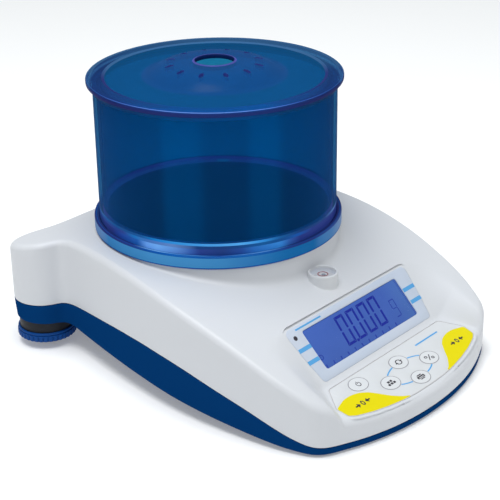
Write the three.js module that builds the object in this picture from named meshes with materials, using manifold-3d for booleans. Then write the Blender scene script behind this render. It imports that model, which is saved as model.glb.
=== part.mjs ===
// Compact precision balance with a round draught shield.
// Millimetres. +X to the user's right, +Y to the rear, +Z up, bench at z = 0.
// The origin is on the bench, in the middle of the footprint. Everything below is written about
// the axis of the round pan, and the whole balance is moved back by PAN_AXIS_Y at the end.

import * as THREE from 'three';
import { mergeVertices } from 'three/addons/utils/BufferGeometryUtils.js';
import Module from 'manifold-3d';

const wasm = await Module();
wasm.setup();

// ---------------------------------------------------------------- driving dimensions
const PAN_AXIS_Y = 29.87;       // from the middle of the footprint to the pan axis
const GAP = 0.3;                // clearance between fitted parts
const WALL = 2.4;               // case wall
const SEAM_HALF_GAP = 0.15;     // half the gap between the two case halves

const PAN_RADIUS = 60;
const PAN_TOP = 78;
const PAN_SHEET = 1;
const SHIELD_RADIUS = 64.2;     // draught shield tube, outside
const SHIELD_INNER_RADIUS = SHIELD_RADIUS - 2;
const SHIELD_BOTTOM = 70.1;
const SHIELD_TOP = 146.9;
const PLINTH_RADIUS = 66.5;     // raised round seat of the shield
const PLINTH_TOP = 67;
const LEVEL_Y = -70.4;          // spirit level centre, half in the foot of the round seat

const REAR_FOOT = { x: 68.8, y: 68.8 };
const STUD_RADIUS = 3;          // threaded stud of a rear foot
const FRONT_FOOT = { x: 52, y: -118, radius: 6 };
const SIDES = { left: -1, right: 1 };

// sloping faces, z = height + slope * y; originY is where the frame of the face stands
const DISPLAY_PLANE = { height: 132.7, slope: 0.994, originY: -98 };
const KEYPAD_PLANE = { height: 50.52, slope: 0.256, originY: -128 };

// (x, y) of fixings
const CASE_SCREWS = [[-71.5, -98], [71.5, -98], [-66.5, 22], [66.5, 22]];
const CHASSIS_STANDOFFS = [[-42, -36], [42, -36], [-42, 38], [42, 38]];
const BOARD_POSTS = [[-44, -92], [44, -92], [-44, -54], [44, -54]];
// y of the screws on the centre line
const BRACKET_SCREWS = [-37.6, -30.4];
const CELL_SCREWS = [30.4, 37.6];
const STOP_SCREW_Y = -36;

// openings in the rear wall
const SERIAL_OPENING = { left: -50, right: -29, bottom: 34.5, top: 45.5 };
const USB_OPENING = { left: -6.6, right: 6.6, bottom: 34, top: 46 };
const POWER_OPENING = { left: 26.4, right: 37.6, bottom: 34, top: 46 };

// deck height along the case, (y, z)
const DECK = [
  [-150, 12.1], [-140, 18.3], [-130, 24.5], [-115, 32.9], [-100, 40.3],
  [-80, 48.7], [-60, 55.2], [-40, 60.1], [-20, 63.8], [0, 66.0],
  [20, 66.5], [40, 65.5], [60, 62.9], [80, 58.6], [95, 54.3],
];
// parting line between the white cover and the blue tray, (y, z)
const PARTING = [
  [-150, 4.3], [-130, 4.6], [-120, 5.9], [-100, 13.6], [-80, 19.8], [-60, 24.9],
  [-40, 28.5], [-20, 30.1], [0, 30.1], [20, 29.2], [55, 27.2], [95, 26.6],
];
// underside of the tray, (y, z)
const BOTTOM = [
  [-150, 0.8], [-120, 1.3], [-100, 3.2], [-80, 4.9], [-60, 6.6],
  [-20, 9.6], [20, 12.2], [38, 13.6], [50, 15.7], [95, 16.4],
];
// half outline of the case in plan, from the middle of the front to the middle of the rear, (x, y)
const CASE_HALF_OUTLINE = [
  [0, -145.24], [14, -144.65], [28, -142.82], [41, -139.87], [52, -136.3], [60, -133.0],
  [66.2, -130.3], [70.6, -127.6], [73.7, -124.0], [75.6, -119.6], [78.8, -110], [80.9, -100],
  [83.3, -80], [84.5, -62], [84.4, -44], [83.3, -30], [80.9, -12], [78.4, 3],
  [74.6, 23], [72.6, 33], [71.1, 42], [70.9, 47], [71.9, 50.2], [74.3, 52.0],
  [77.6, 53.6], [81.7, 57.1], [84.6, 62.3], [85.7, 68.3], [84.6, 74.4], [81.4, 79.8],
  [76.6, 83.6], [70.6, 85.5], [64.4, 85.4], [58.6, 83.6], [53.0, 81.2], [46, 79.9],
  [30, 80.0], [0, 80.8],
];
// display and keypad bay: y, half width of the floor, half width at the deck
const BAY = [
  [-86.2, 52.0, 61.0], [-88.5, 51.6, 64.0], [-92, 51.0, 65.6],
  [-101, 50.0, 66.5], [-111.36, 50.3, 66.5], [-118, 54.5, 66.0],
  [-124.5, 57.6, 65.4], [-132, 57.0, 64.4], [-150, 56.0, 62.5],
];

// ---------------------------------------------------------------- materials
const material = ({ color, roughness, metalness = 0, opacity = 1 }) =>
  new THREE.MeshStandardMaterial({
    color, roughness, metalness, opacity, transparent: opacity < 1,
  });
const FINISH = {
  white: material({ color: 0xe3e6ea, roughness: 0.42 }),
  blue: material({ color: 0x12407c, roughness: 0.45 }),
  shield: material({ color: 0x0a4f96, roughness: 0.12, opacity: 0.5 }),
  ring: material({ color: 0x2f7fc4, roughness: 0.2, opacity: 0.7 }),
  steel: material({ color: 0xc4c8cc, roughness: 0.25, metalness: 1 }),
  aluminium: material({ color: 0xb9bcc0, roughness: 0.4, metalness: 1 }),
  zinc: material({ color: 0x9da1a6, roughness: 0.35, metalness: 1 }),
  brass: material({ color: 0xc9a455, roughness: 0.35, metalness: 1 }),
  dark: material({ color: 0x22252b, roughness: 0.6 }),
  rubber: material({ color: 0x1b1c1e, roughness: 0.85 }),
  board: material({ color: 0x1f6a3c, roughness: 0.5 }),
  window: material({ color: 0xdde3ea, roughness: 0.15, opacity: 0.6 }),
  lcd: material({ color: 0x4a68b8, roughness: 0.2 }),
  diffuser: material({ color: 0xdfe8f7, roughness: 0.5 }),
  overlay: material({ color: 0xeceef0, roughness: 0.4 }),
  yellow: material({ color: 0xe9dc1c, roughness: 0.4 }),
  key: material({ color: 0xf2f3f4, roughness: 0.4 }),
  vial: material({ color: 0xd9ecd0, roughness: 0.05, opacity: 0.5 }),
  battery: material({ color: 0x2b4d8f, roughness: 0.5 }),
  cable: material({ color: 0x9aa0a8, roughness: 0.6 }),
  black: material({ color: 0x141416, roughness: 0.5 }),
};

// ---------------------------------------------------------------- meshes and manifolds
const balance = new THREE.Group();

function add(name, geometry, finish, parent = balance) {
  const mesh = new THREE.Mesh(geometry, finish);
  mesh.name = name;
  parent.add(mesh);
}

const toManifold = (geometry) => new wasm.Manifold(new wasm.Mesh({
  numProp: 3,
  vertProperties: new Float32Array(geometry.attributes.position.array),
  triVerts: new Uint32Array(geometry.index.array),
}));

function toGeometry(manifold) {
  const mesh = manifold.getMesh();
  const geometry = new THREE.BufferGeometry();
  const positions = new Float32Array(mesh.vertProperties);
  geometry.setAttribute('position', new THREE.BufferAttribute(positions, 3));
  geometry.setIndex(new THREE.BufferAttribute(new Uint32Array(mesh.triVerts), 1));
  return geometry;
}

// manifold of a geometry, joined by position alone
function solid(geometry) {
  const bare = geometry.clone();
  for (const key of Object.keys(bare.attributes)) {
    if (key !== 'position') bare.deleteAttribute(key);
  }
  return toManifold(mergeVertices(bare, 1e-4));
}

const largest = (parts) =>
  parts.reduce((best, part) => (part.volume() > best.volume() ? part : best));

// geometry of the one real body of a cut piece, without slivers left by the cuts
function finished(manifold) {
  let main = largest(manifold.decompose());
  for (let i = 0; i < 8; i++) {
    // joined to a micrometre, so that a cut leaves no hair-thin leftovers
    const joined = mergeVertices(toGeometry(main).toNonIndexed(), 1e-3);
    const parts = toManifold(joined).decompose();
    main = largest(parts);
    if (parts.length === 1) break;
  }
  return toGeometry(main);
}

const cut = (base, ...tools) => tools.reduce((rest, tool) => rest.subtract(tool), base);

// ---------------------------------------------------------------- shapes
// upright cylinder from z0 to z1
function cylinder(radius, z0, z1, x, y, segments) {
  const geometry = new THREE.CylinderGeometry(radius, radius, z1 - z0, segments);
  return geometry.rotateX(Math.PI / 2).translate(x, y, (z0 + z1) / 2);
}

const box = (x0, x1, y0, y1, z0, z1) => new THREE.BoxGeometry(x1 - x0, y1 - y0, z1 - z0)
  .translate((x0 + x1) / 2, (y0 + y1) / 2, (z0 + z1) / 2);

const solidCylinder = (...sizes) => solid(cylinder(...sizes));
const solidBox = (...sizes) => solid(box(...sizes));

// turned body about the upright axis; the (r, z) profile is a closed loop or ends on the axis
function turned(profile, segments, x = 0, y = 0) {
  const points = profile.map(([r, z]) => new THREE.Vector2(r, z));
  const onAxis = profile[0][0] === 0 && profile[profile.length - 1][0] === 0;
  if (!onAxis) points.push(points[0].clone());
  // the lathe needs an anticlockwise profile for its faces to look outwards
  let area = 0;
  points.forEach((point, i) => {
    area += point.cross(points[(i + 1) % points.length]);
  });
  if (area < 0) points.reverse();
  return new THREE.LatheGeometry(points, segments).rotateX(Math.PI / 2).translate(x, y, 0);
}

const shapeOf = (points) => new THREE.Shape(points.map(([u, v]) => new THREE.Vector2(u, v)));
const extruded = (points, depth) =>
  new THREE.ExtrudeGeometry(shapeOf(points), { depth, bevelEnabled: false, steps: 1 });

// plate from an (x, y) outline between z0 and z1
const plate = (points, z0, z1) => extruded(points, z1 - z0).translate(0, 0, z0);

// (y, z) outline drawn out along x
function across(points, x0, x1) {
  const axes = new THREE.Matrix4().makeBasis(
    new THREE.Vector3(0, 1, 0), new THREE.Vector3(0, 0, 1), new THREE.Vector3(1, 0, 0));
  return extruded(points, x1 - x0).applyMatrix4(axes).translate(x0, 0, 0);
}

// closed body through rings that all hold the same number of points
function loft(rings) {
  const count = rings[0].length;
  const indices = [];
  for (let k = 0; k < rings.length - 1; k++) {
    for (let i = 0; i < count; i++) {
      const here = k * count + i;
      const next = k * count + (i + 1) % count;
      indices.push(here, next, here + count, next, next + count, here + count);
    }
  }
  const last = (rings.length - 1) * count;
  for (let i = 1; i < count - 1; i++) {
    indices.push(0, i + 1, i);
    indices.push(last, last + i, last + i + 1);
  }
  const geometry = new THREE.BufferGeometry();
  geometry.setAttribute('position', new THREE.Float32BufferAttribute(rings.flat(2), 3));
  geometry.setIndex(indices);
  return geometry;
}

// six-sided cable through the given points
function cable(points, radius, steps) {
  const extrudePath = new THREE.CatmullRomCurve3(points.map((p) => new THREE.Vector3(...p)));
  const section = Array.from({ length: 6 }, (_, i) => {
    const angle = 2 * Math.PI * i / 6;
    return [radius * Math.cos(angle), radius * Math.sin(angle)];
  });
  return new THREE.ExtrudeGeometry(shapeOf(section), {
    steps, bevelEnabled: false, extrudePath,
  });
}

// upright screw, its tip above or below the head
function screw(x, y, headBottom, headTop, tip) {
  const shaftBottom = Math.min(headBottom, tip);
  const shaftTop = Math.max(headTop, tip);
  return finished(solidCylinder(3.0, headBottom, headTop, x, y, 16)
    .add(solidCylinder(1.5, shaftBottom, shaftTop, x, y, 12)));
}

// bores on the centre line
const bores = (places, radius, z0, z1) =>
  places.map((y) => solidCylinder(radius, z0, z1, 0, y, 12));

// ---------------------------------------------------------------- outlines and height tables
const rectangle = (x0, x1, y0, y1) => [[x0, y0], [x1, y0], [x1, y1], [x0, y1]];

// closed outline from its half at x >= 0
const mirrored = (half) => [
  ...half,
  ...half.filter(([x]) => x !== 0).reverse().map(([x, y]) => [-x, y]),
];

// closed outline moved inwards, each point square to the line between its neighbours
const inset = (outline, distance) => outline.map(([x, y], i) => {
  const before = outline[(i + outline.length - 1) % outline.length];
  const after = outline[(i + 1) % outline.length];
  const alongX = after[0] - before[0];
  const alongY = after[1] - before[1];
  const length = Math.hypot(alongX, alongY);
  return [x - distance * alongY / length, y + distance * alongX / length];
});

// height from a (y, z) table, straight between its entries
function heightAt(table, y) {
  if (y <= table[0][0]) return table[0][1];
  for (let i = 1; i < table.length; i++) {
    const [y0, z0] = table[i - 1];
    const [y1, z1] = table[i];
    if (y <= y1) return z0 + (y - y0) / (y1 - y0) * (z1 - z0);
  }
  return table[table.length - 1][1];
}
const deckZ = (y) => heightAt(DECK, y);
const partingZ = (y) => heightAt(PARTING, y);
const bottomZ = (y) => heightAt(BOTTOM, y);

const raised = (table, rise) => table.map(([y, z]) => [y, z + rise]);

// slab across the whole case, bounded below and above by two (y, z) tables
const SLAB_HALF_WIDTH = 95;
const slab = (lower, upper) =>
  solid(across([...lower, ...[...upper].reverse()], -SLAB_HALF_WIDTH, SLAB_HALF_WIDTH));

// ---------------------------------------------------------------- display and keypad frames
const planeZ = (plane, y) => plane.height + plane.slope * y;

function planeFrame(plane) {
  const frame = new THREE.Group();
  frame.position.set(0, plane.originY, planeZ(plane, plane.originY));
  frame.rotation.x = Math.atan(plane.slope);
  frame.updateMatrix();
  balance.add(frame);
  return frame;
}
const display = planeFrame(DISPLAY_PLANE);
const keypad = planeFrame(KEYPAD_PLANE);

// distance up the slope from the frame origin, for a place at y
const alongPlane = (plane, y) => (y - plane.originY) / Math.cos(Math.atan(plane.slope));
const displayY = (y) => alongPlane(DISPLAY_PLANE, y);
const keypadY = (y) => alongPlane(KEYPAD_PLANE, y);

// cutter drawn in a frame, carried over to the case
const cutterFrom = (frame, geometry) => solid(geometry.applyMatrix4(frame.matrix));

// ---------------------------------------------------------------- display and keypad outlines
// each takes the margin by which it is grown
const windowOutline = (margin) => mirrored([
  [46 + margin, displayY(-109.35) - margin],
  [51 + margin, displayY(-86.9) + margin],
]);
const overlayOutline = (margin) => mirrored([
  [0, -141.9 - margin], [15, -141.2 - margin], [29, -139.5 - margin], [42, -136.9 - margin],
  [54.4 + margin * 0.6, -132.6 - margin], [56 + margin, -124.2 + margin * 0.2],
  [47.6 + margin * 0.8, -112.95 + margin],
].map(([x, y]) => [x, keypadY(y)]));

// round function keys: name, x, y
const KEYS = [
  ['power_key', -31.7, -119.3],
  ['mode_key', 0, -121.2],
  ['units_key', 17, -128.5],
  ['sample_key', -17, -128.5],
  ['print_key', 0, -135],
].map(([name, x, y]) => ({ name, x, y: keypadY(y) }));
const KEY_RADIUS = 5;
const KEY_BOTTOM = -4.9;
// the function keys are wider across the keypad than they are deep
const stretched = (geometry, { x, y }) =>
  geometry.translate(-x, -y, 0).scale(1.26, 0.92, 1).translate(x, y, 0);
const keyCylinder = (key, margin, z0, z1, segments) =>
  stretched(cylinder(KEY_RADIUS + margin, z0, z1, key.x, key.y, segments), key);

// right tare key, clockwise, (x, y)
const TARE_OUTLINE = [
  [56, -124.2], [54.4, -132.4], [42, -135.9], [30, -138.3], [17.5, -140.2],
  [24.6, -134.7], [30.2, -128.6], [36.2, -124.1], [43.8, -122.3],
];
const tareCylinder = (side, radius, z0, z1) =>
  cylinder(radius, z0, z1, side * 41, keypadY(-128.6), 16);

// tare key outline on one side, moved inwards with limited mitres at its corners
function tareOutline(side, distance) {
  const points = TARE_OUTLINE.map(([x, y]) => [x * side, keypadY(y)]);
  return points.map(([x, y], i) => {
    const before = points[(i + points.length - 1) % points.length];
    const after = points[(i + 1) % points.length];
    const arriving = new THREE.Vector2(x - before[0], y - before[1]).normalize();
    const leaving = new THREE.Vector2(after[0] - x, after[1] - y).normalize();
    const along = arriving.add(leaving);
    const length = along.length();
    const mitre = Math.min(1.6, 1 / Math.max(0.5, length / 2));
    const move = side * distance * mitre / length;
    return [x + along.y * move, y - along.x * move];
  });
}

// ---------------------------------------------------------------- case bodies
const fullOutline = (outline) => solid(plate(outline, -5, 90));
const caseOuter = fullOutline(mirrored(CASE_HALF_OUTLINE));
// every second point of the outline is enough inside
const caseInner = fullOutline(inset(
  mirrored(CASE_HALF_OUTLINE.filter((point, i) =>
    i % 2 === 0 || i === CASE_HALF_OUTLINE.length - 1)),
  WALL + 0.2));

// section of the bay at y through (half width, z) of its floor, rim and top
const bayRing = (y, [floorX, floorZ], [rimX, rimZ], [topX, topZ]) => [
  [-floorX, y, floorZ], [floorX, y, floorZ], [rimX, y, rimZ],
  [topX, y, topZ], [-topX, y, topZ], [-rimX, y, rimZ],
];
const RIM_MIN_RISE = 0.4;

// bay sections grown outwards by a wall and carried up past the deck by a lift
const bayRings = (wall, lift) => BAY.map(([y, floorHalf, rimHalf]) => {
  const surfaceZ = Math.max(planeZ(DISPLAY_PLANE, y), planeZ(KEYPAD_PLANE, y));
  // the steeper display slope needs the larger drop
  const floorZ = surfaceZ - wall * (y > -111 ? 1.38 : 1.03);
  const deck = deckZ(y) - wall;
  const rimX = rimHalf + wall * 1.2;
  return bayRing(y, [floorHalf + wall * 0.8, floorZ],
    [rimX, Math.max(deck, floorZ + RIM_MIN_RISE)], [rimX + 6, deck + lift]);
});

// swollen bay that the inside of the case keeps clear of, carried on behind the display
function swollenBay() {
  const y = -82.6;
  const z = deckZ(y) - WALL;
  const rear = bayRing(y, [52 + WALL, z], [61 + WALL, z + RIM_MIN_RISE], [70 + WALL, z + 16]);
  return solid(loft([rear, ...bayRings(WALL, 16)]));
}

// ---------------------------------------------------------------- white upper case
const SCREW_BORE_RADIUS = 1.9;

function upperShell() {
  const shell = caseOuter.intersect(slab(raised(PARTING, SEAM_HALF_GAP), DECK))
    .add(solidCylinder(PLINTH_RADIUS, 45, PLINTH_TOP, 0, 0, 48));
  const cavity = caseInner.intersect(slab([[-150, -4], [95, -4]], raised(DECK, -WALL)))
    .add(solidCylinder(PLINTH_RADIUS - WALL, 40, PLINTH_TOP - WALL, 0, 0, 40));
  return cut(shell, solid(loft(bayRings(0, 14))), cavity.subtract(swollenBay()));
}

// screw bosses hang from the deck
function withBosses(shell) {
  let bossed = shell;
  for (const [x, y] of CASE_SCREWS) {
    const boss = solidCylinder(4.2, partingZ(y) + 2, deckZ(y) - 1.2, x, y, 16);
    bossed = bossed.add(boss.intersect(caseOuter));
  }
  return cut(bossed, ...CASE_SCREWS.map(([x, y]) =>
    solidCylinder(SCREW_BORE_RADIUS, 0, partingZ(y) + 16, x, y, 12)));
}

const spindleAndLevelOpenings = () => [
  solidCylinder(12, 50, 80, 0, 0, 20),
  solidCylinder(8.7, 30, 60, 0, LEVEL_Y, 20),
];

// window pocket and the opening for the screen below it
const displayOpenings = () => [
  cutterFrom(display, plate(windowOutline(GAP), -1.5, 8)),
  cutterFrom(display, plate(rectangle(-41.5, 41.5, -12.6, 12.6), -9, 4)),
];

// overlay pocket and the key holes
const keypadOpenings = () => [
  cutterFrom(keypad, plate(overlayOutline(GAP), -0.8, 6)),
  ...KEYS.map((key) => cutterFrom(keypad, keyCylinder(key, 0.45, -8, 4, 14))),
  ...Object.values(SIDES).map((side) => cutterFrom(keypad, tareCylinder(side, 4.2, -8, 4))),
];

const socketOpenings = () => [SERIAL_OPENING, USB_OPENING, POWER_OPENING]
  .map(({ left, right, bottom, top }) => solidBox(left, right, 74, 90, bottom, top));

add('upper_case', finished(cut(withBosses(upperShell()),
  ...spindleAndLevelOpenings(), ...displayOpenings(), ...keypadOpenings(),
  ...socketOpenings())), FINISH.white);

// ---------------------------------------------------------------- blue lower case (tray)
function trayShell() {
  const body = caseOuter.intersect(slab(BOTTOM, raised(PARTING, -SEAM_HALF_GAP)));
  const cavity = caseInner.intersect(slab(raised(BOTTOM, WALL), [[-150, 60], [95, 60]]));
  return body.subtract(cavity);
}

// recess, boss and insert bore above each rear foot
function withRearFootSeats(tray) {
  let seated = tray;
  for (const side of Object.values(SIDES)) {
    const x = side * REAR_FOOT.x;
    const y = REAR_FOOT.y;
    seated = seated.add(solidCylinder(18, 17.5, 22.6, x, y, 24).intersect(caseOuter))
      .add(solidCylinder(8, 20, 31, x, y, 12))
      .subtract(solidCylinder(15.6, 5, 20.3, x, y, 28))
      .subtract(solidCylinder(5.5, 20, 40, x, y, 12));
  }
  return seated;
}

// standoffs for the chassis plate and posts for the main board
function withStandoffs(tray) {
  let result = tray;
  for (const [x, y] of CHASSIS_STANDOFFS) {
    result = result.add(solidCylinder(4, bottomZ(y) + 1, 21.7, x, y, 16));
  }
  for (const [x, y] of BOARD_POSTS) {
    result = result.add(solidCylinder(3, bottomZ(y) + 1, 14.7, x, y, 12));
  }
  return result;
}

// screw columns with counterbored heads
function withScrewColumns(tray) {
  let result = tray;
  for (const [x, y] of CASE_SCREWS) {
    const column = solidCylinder(4.6, bottomZ(y) + 0.8, partingZ(y) - 0.6, x, y, 16);
    result = cut(result.add(column.intersect(caseOuter)),
      solidCylinder(3.4, -2, bottomZ(y) + 4, x, y, 16),
      solidCylinder(SCREW_BORE_RADIUS, -2, 60, x, y, 12));
  }
  return result;
}

// shallow sockets for the front feet, thickened above
function withFrontFootSockets(tray) {
  const discs = (radius, z0, z1) => Object.values(SIDES).map((side) =>
    solidCylinder(radius, z0, z1, side * FRONT_FOOT.x, FRONT_FOOT.y, 24));
  return discs(8, 2.4, 4.6).reduce((result, disc) => result.add(disc),
    cut(tray, ...discs(FRONT_FOOT.radius + GAP, -2, 2.2)));
}

add('lower_case', finished(withFrontFootSockets(withScrewColumns(withStandoffs(
  withRearFootSeats(trayShell()))))), FINISH.blue);

// ---------------------------------------------------------------- feet
const DIAL_RADIUS = 16.3;
const DIAL_BOTTOM = 4.2;
const DIAL_TOP = 9.5;
const DIAL_TEETH = 24;
const PAD_RADIUS = 7.6;
const STUD_BOTTOM = 5.6;

for (const [name, side] of Object.entries(SIDES)) {
  add('front_foot_' + name,
    cylinder(FRONT_FOOT.radius, 0, 1.9, side * FRONT_FOOT.x, FRONT_FOOT.y, 24), FINISH.rubber);
}

// serrated thumb dial with a pad recess below and a stud bore
function footDial(x, y) {
  const teeth = Array.from({ length: DIAL_TEETH * 2 }, (_, i) => {
    const radius = i % 2 ? DIAL_RADIUS - 0.8 : DIAL_RADIUS;
    const angle = Math.PI * i / DIAL_TEETH;
    return [x + radius * Math.cos(angle), y + radius * Math.sin(angle)];
  });
  const dial = solid(plate(teeth, DIAL_BOTTOM, 7.6))
    .add(solidCylinder(DIAL_RADIUS - 0.4, 7.4, DIAL_TOP, x, y, 24));
  return finished(cut(dial,
    solidCylinder(PAD_RADIUS + 0.4, 3, STUD_BOTTOM, x, y, 24),
    solidCylinder(STUD_RADIUS + GAP, 3, 12, x, y, 12)));
}

const footCollar = (x, y) => finished(cut(
  solidCylinder(14.9, DIAL_TOP + GAP, 17.0, x, y, 28),
  solidCylinder(STUD_RADIUS + GAP, 5, 18, x, y, 12)));

const footInsert = (x, y) => finished(cut(
  solidCylinder(5.0, 20.7, 30.7, x, y, 12),
  solidCylinder(STUD_RADIUS + 0.35, 20, 32, x, y, 12)));

for (const [name, side] of Object.entries(SIDES)) {
  const x = side * REAR_FOOT.x;
  const y = REAR_FOOT.y;
  add('foot_dial_' + name, footDial(x, y), FINISH.blue);
  add('foot_pad_' + name, cylinder(PAD_RADIUS, 0, 5.2, x, y, 24), FINISH.rubber);
  add('foot_collar_' + name, footCollar(x, y), FINISH.dark);
  add('foot_stud_' + name, cylinder(STUD_RADIUS, STUD_BOTTOM, 34, x, y, 12), FINISH.zinc);
  add('foot_insert_' + name, footInsert(x, y), FINISH.brass);
}

// ---------------------------------------------------------------- draught shield
// base ring with a groove for the tube
function shieldBaseRing() {
  const inner = 60.9;
  const outer = 67.1;
  const bottom = 67.3;
  const outerTop = 74.1;
  const innerTop = 71.6;
  const grooveFloor = SHIELD_BOTTOM - GAP;
  return turned([
    [inner, bottom], [outer, bottom], [outer, outerTop], [SHIELD_RADIUS + GAP, outerTop],
    [SHIELD_RADIUS + GAP, grooveFloor], [SHIELD_INNER_RADIUS - GAP, grooveFloor],
    [SHIELD_INNER_RADIUS - GAP, innerTop], [inner, innerTop],
  ], 40);
}
add('shield_base_ring', shieldBaseRing(), FINISH.ring);

add('shield_cylinder', turned([
  [SHIELD_INNER_RADIUS, SHIELD_BOTTOM], [SHIELD_RADIUS, SHIELD_BOTTOM],
  [SHIELD_RADIUS, SHIELD_TOP], [SHIELD_INNER_RADIUS, SHIELD_TOP],
], 40), FINISH.shield);

// one of the oval vents around the lid hole, long side outwards
function lidVent(angle) {
  const ringRadius = 24;
  return solid(new THREE.CylinderGeometry(1.25, 1.25, 14, 8)
    .rotateX(Math.PI / 2)
    .scale(2, 1, 1)
    .rotateZ(angle)
    .translate(ringRadius * Math.cos(angle), ringRadius * Math.sin(angle), 155));
}

// raised flat rim over the tube, recessed crown with a low dome, centre hole and vents
function shieldLid() {
  const radius = 67.5;
  const holeRadius = 10.3;
  const top = 150;
  const underside = SHIELD_TOP + GAP;
  const skirtBottom = 143.6;
  const ventCount = 12;
  const lid = solid(turned([
    [holeRadius, 153.6], [holeRadius, 156.4], [24, 155.6], [33, 152.6], [38, 149.4],
    [58.5, 149.4], [59.6, top], [radius, top], [radius, underside], [66.6, underside],
    [66.6, skirtBottom], [64.7, skirtBottom], [64.7, underside], [38, underside],
    [32, 151.0], [22, 153.4],
  ], 40));
  const vents = Array.from({ length: ventCount }, (_, i) =>
    lidVent(2 * Math.PI * (i + 0.853) / ventCount));
  return finished(cut(lid, ...vents));
}
add('shield_lid', shieldLid(), FINISH.shield);

// ---------------------------------------------------------------- pan and load path
function weighingPan() {
  const inner = PAN_RADIUS - PAN_SHEET;
  const underside = PAN_TOP - PAN_SHEET;
  const rimBottom = 73.5;
  return turned([
    [0, underside], [inner, underside], [inner, rimBottom],
    [PAN_RADIUS, rimBottom], [PAN_RADIUS, PAN_TOP], [0, PAN_TOP],
  ], 40);
}
add('weighing_pan', weighingPan(), FINISH.steel);

add('pan_support', turned([
  [0, 62.4], [6.4, 62.4], [6.4, 57.6], [9.5, 57.6], [9.5, 70.5],
  [24, 73.2], [24, 76.6], [0, 76.6],
], 24), FINISH.dark);

// arm on the front end of the load cell, with a spigot under the pan
const panBracket = () => finished(cut(
  solidBox(-9, 9, -42, 12, 54.2, 57.0)
    .add(solidBox(-9, 9, -42, -26, 52.4, 55))
    .add(solidCylinder(6.0, 56, 62.0, 0, 0, 24)),
  ...bores(BRACKET_SCREWS, 2.3, 50, 60)));
add('pan_bracket', panBracket(), FINISH.aluminium);

// double-bending beam; the round ends of its slot form the flexures
function loadCell() {
  const endY = 44;
  const bottom = 30;
  const top = 52;
  const slotRadius = 8.2;
  const slotZ = (bottom + top) / 2;
  const slotEnds = [[-11, Math.PI / 2], [11, -Math.PI / 2]];  // y, start angle
  const slot = slotEnds.flatMap(([y, start]) => Array.from({ length: 17 }, (_, i) => {
    const angle = start + Math.PI * i / 16;
    return [y + slotRadius * Math.cos(angle), slotZ + slotRadius * Math.sin(angle)];
  }));
  return finished(cut(solid(across(rectangle(-endY, endY, bottom, top), -8, 8)),
    solid(across(slot, -10, 10)),
    ...bores(BRACKET_SCREWS, 1.9, 44, 60),
    ...bores(CELL_SCREWS, 1.9, 20, 44)));
}
add('load_cell', loadCell(), FINISH.aluminium);

add('load_cell_spacer', finished(cut(
  solidBox(-9, 9, 25, 43, 25.3, 29.7),
  ...bores(CELL_SCREWS, 2.2, 20, 32))), FINISH.aluminium);

add('chassis_plate', finished(cut(
  solid(plate(rectangle(-50, 50, -45, 46), 22, 25)),
  ...bores(CELL_SCREWS, 2.2, 20, 32),
  ...bores([STOP_SCREW_Y], 2.3, 20, 32))), FINISH.zinc);

// stop screw with a hexagonal nut
add('overload_stop_screw', finished(
  solidCylinder(1.9, 19.0, 29.4, 0, STOP_SCREW_Y, 12)
    .add(solidCylinder(3.4, 25.3, 27.4, 0, STOP_SCREW_Y, 6))), FINISH.zinc);

const [cellFrontY, cellRearY] = CELL_SCREWS;
const [bracketFrontY, bracketRearY] = BRACKET_SCREWS;
add('cell_screw_rear', screw(0, cellRearY, 19.4, 21.7, 42), FINISH.zinc);
add('cell_screw_front', screw(0, cellFrontY, 19.4, 21.7, 42), FINISH.zinc);
add('bracket_screw_front', screw(0, bracketFrontY, 57.3, 59.4, 46), FINISH.zinc);
add('bracket_screw_rear', screw(0, bracketRearY, 57.3, 59.4, 46), FINISH.zinc);

// ---------------------------------------------------------------- display
const SCREEN = rectangle(-41, 41, -12.2, 12.2);
add('display_window', plate(windowOutline(0), -1.2, 0), FINISH.window, display);
add('lcd_panel', plate(SCREEN, -4.4, -1.6), FINISH.lcd, display);
add('lcd_backlight', plate(SCREEN, -8.0, -4.7), FINISH.diffuser, display);
add('display_board', plate(rectangle(-46, 46, -15, 15), -10.2, -8.6), FINISH.board, display);

// ---------------------------------------------------------------- keypad
const keypadOverlay = () => finished(cut(
  solid(plate(overlayOutline(0), -0.5, 0)),
  ...KEYS.map((key) => solid(keyCylinder(key, 0.35, -2, 2, 16))),
  ...Object.values(SIDES).map((side) => solid(plate(tareOutline(side, -0.1), -2, 2)))));
add('keypad_overlay', keypadOverlay(), FINISH.overlay, keypad);

// flanged key with a chamfered top
const functionKey = (key) => stretched(turned([
  [0, KEY_BOTTOM], [6.0, KEY_BOTTOM], [6.0, -4.0], [KEY_RADIUS, -4.0],
  [KEY_RADIUS, 0.4], [KEY_RADIUS - 0.6, 0.8], [0, 0.8],
], 16, key.x, key.y), key);
for (const key of KEYS) add(key.name, functionKey(key), FINISH.key, keypad);

const tareKey = (side) => finished(solid(plate(tareOutline(side, 0.35), -0.2, 0.5))
  .add(solid(tareCylinder(side, 3.8, KEY_BOTTOM, 0))));
for (const [name, side] of Object.entries(SIDES)) {
  add('tare_key_' + name, tareKey(side), FINISH.yellow, keypad);
}

add('keypad_board', plate([
  [-50, -131], [-26, -138.3], [26, -138.3], [50, -131], [50, -115.5], [-50, -115.5],
].map(([x, y]) => [x, keypadY(y)]), -7.6, -6.0), FINISH.board, keypad);

// ---------------------------------------------------------------- spirit level
add('level_housing', turned([
  [0, 43.6], [8.3, 43.6], [8.3, 54.4], [7.7, 54.9], [6.9, 54.9], [6.9, 46.0], [0, 46.0],
], 20, 0, LEVEL_Y), FINISH.key);
add('level_vial', turned([
  [0, 46.3], [6.5, 46.3], [6.5, 53.7], [0, 54.4],
], 16, 0, LEVEL_Y), FINISH.vial);

// ---------------------------------------------------------------- electronics and wiring
add('main_board', plate(rectangle(-50, 50, -96, -49), 15.0, 16.6), FINISH.board);
add('battery_pack', box(52.5, 69.0, -46, 8, 15.4, 31.4), FINISH.battery);

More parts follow.
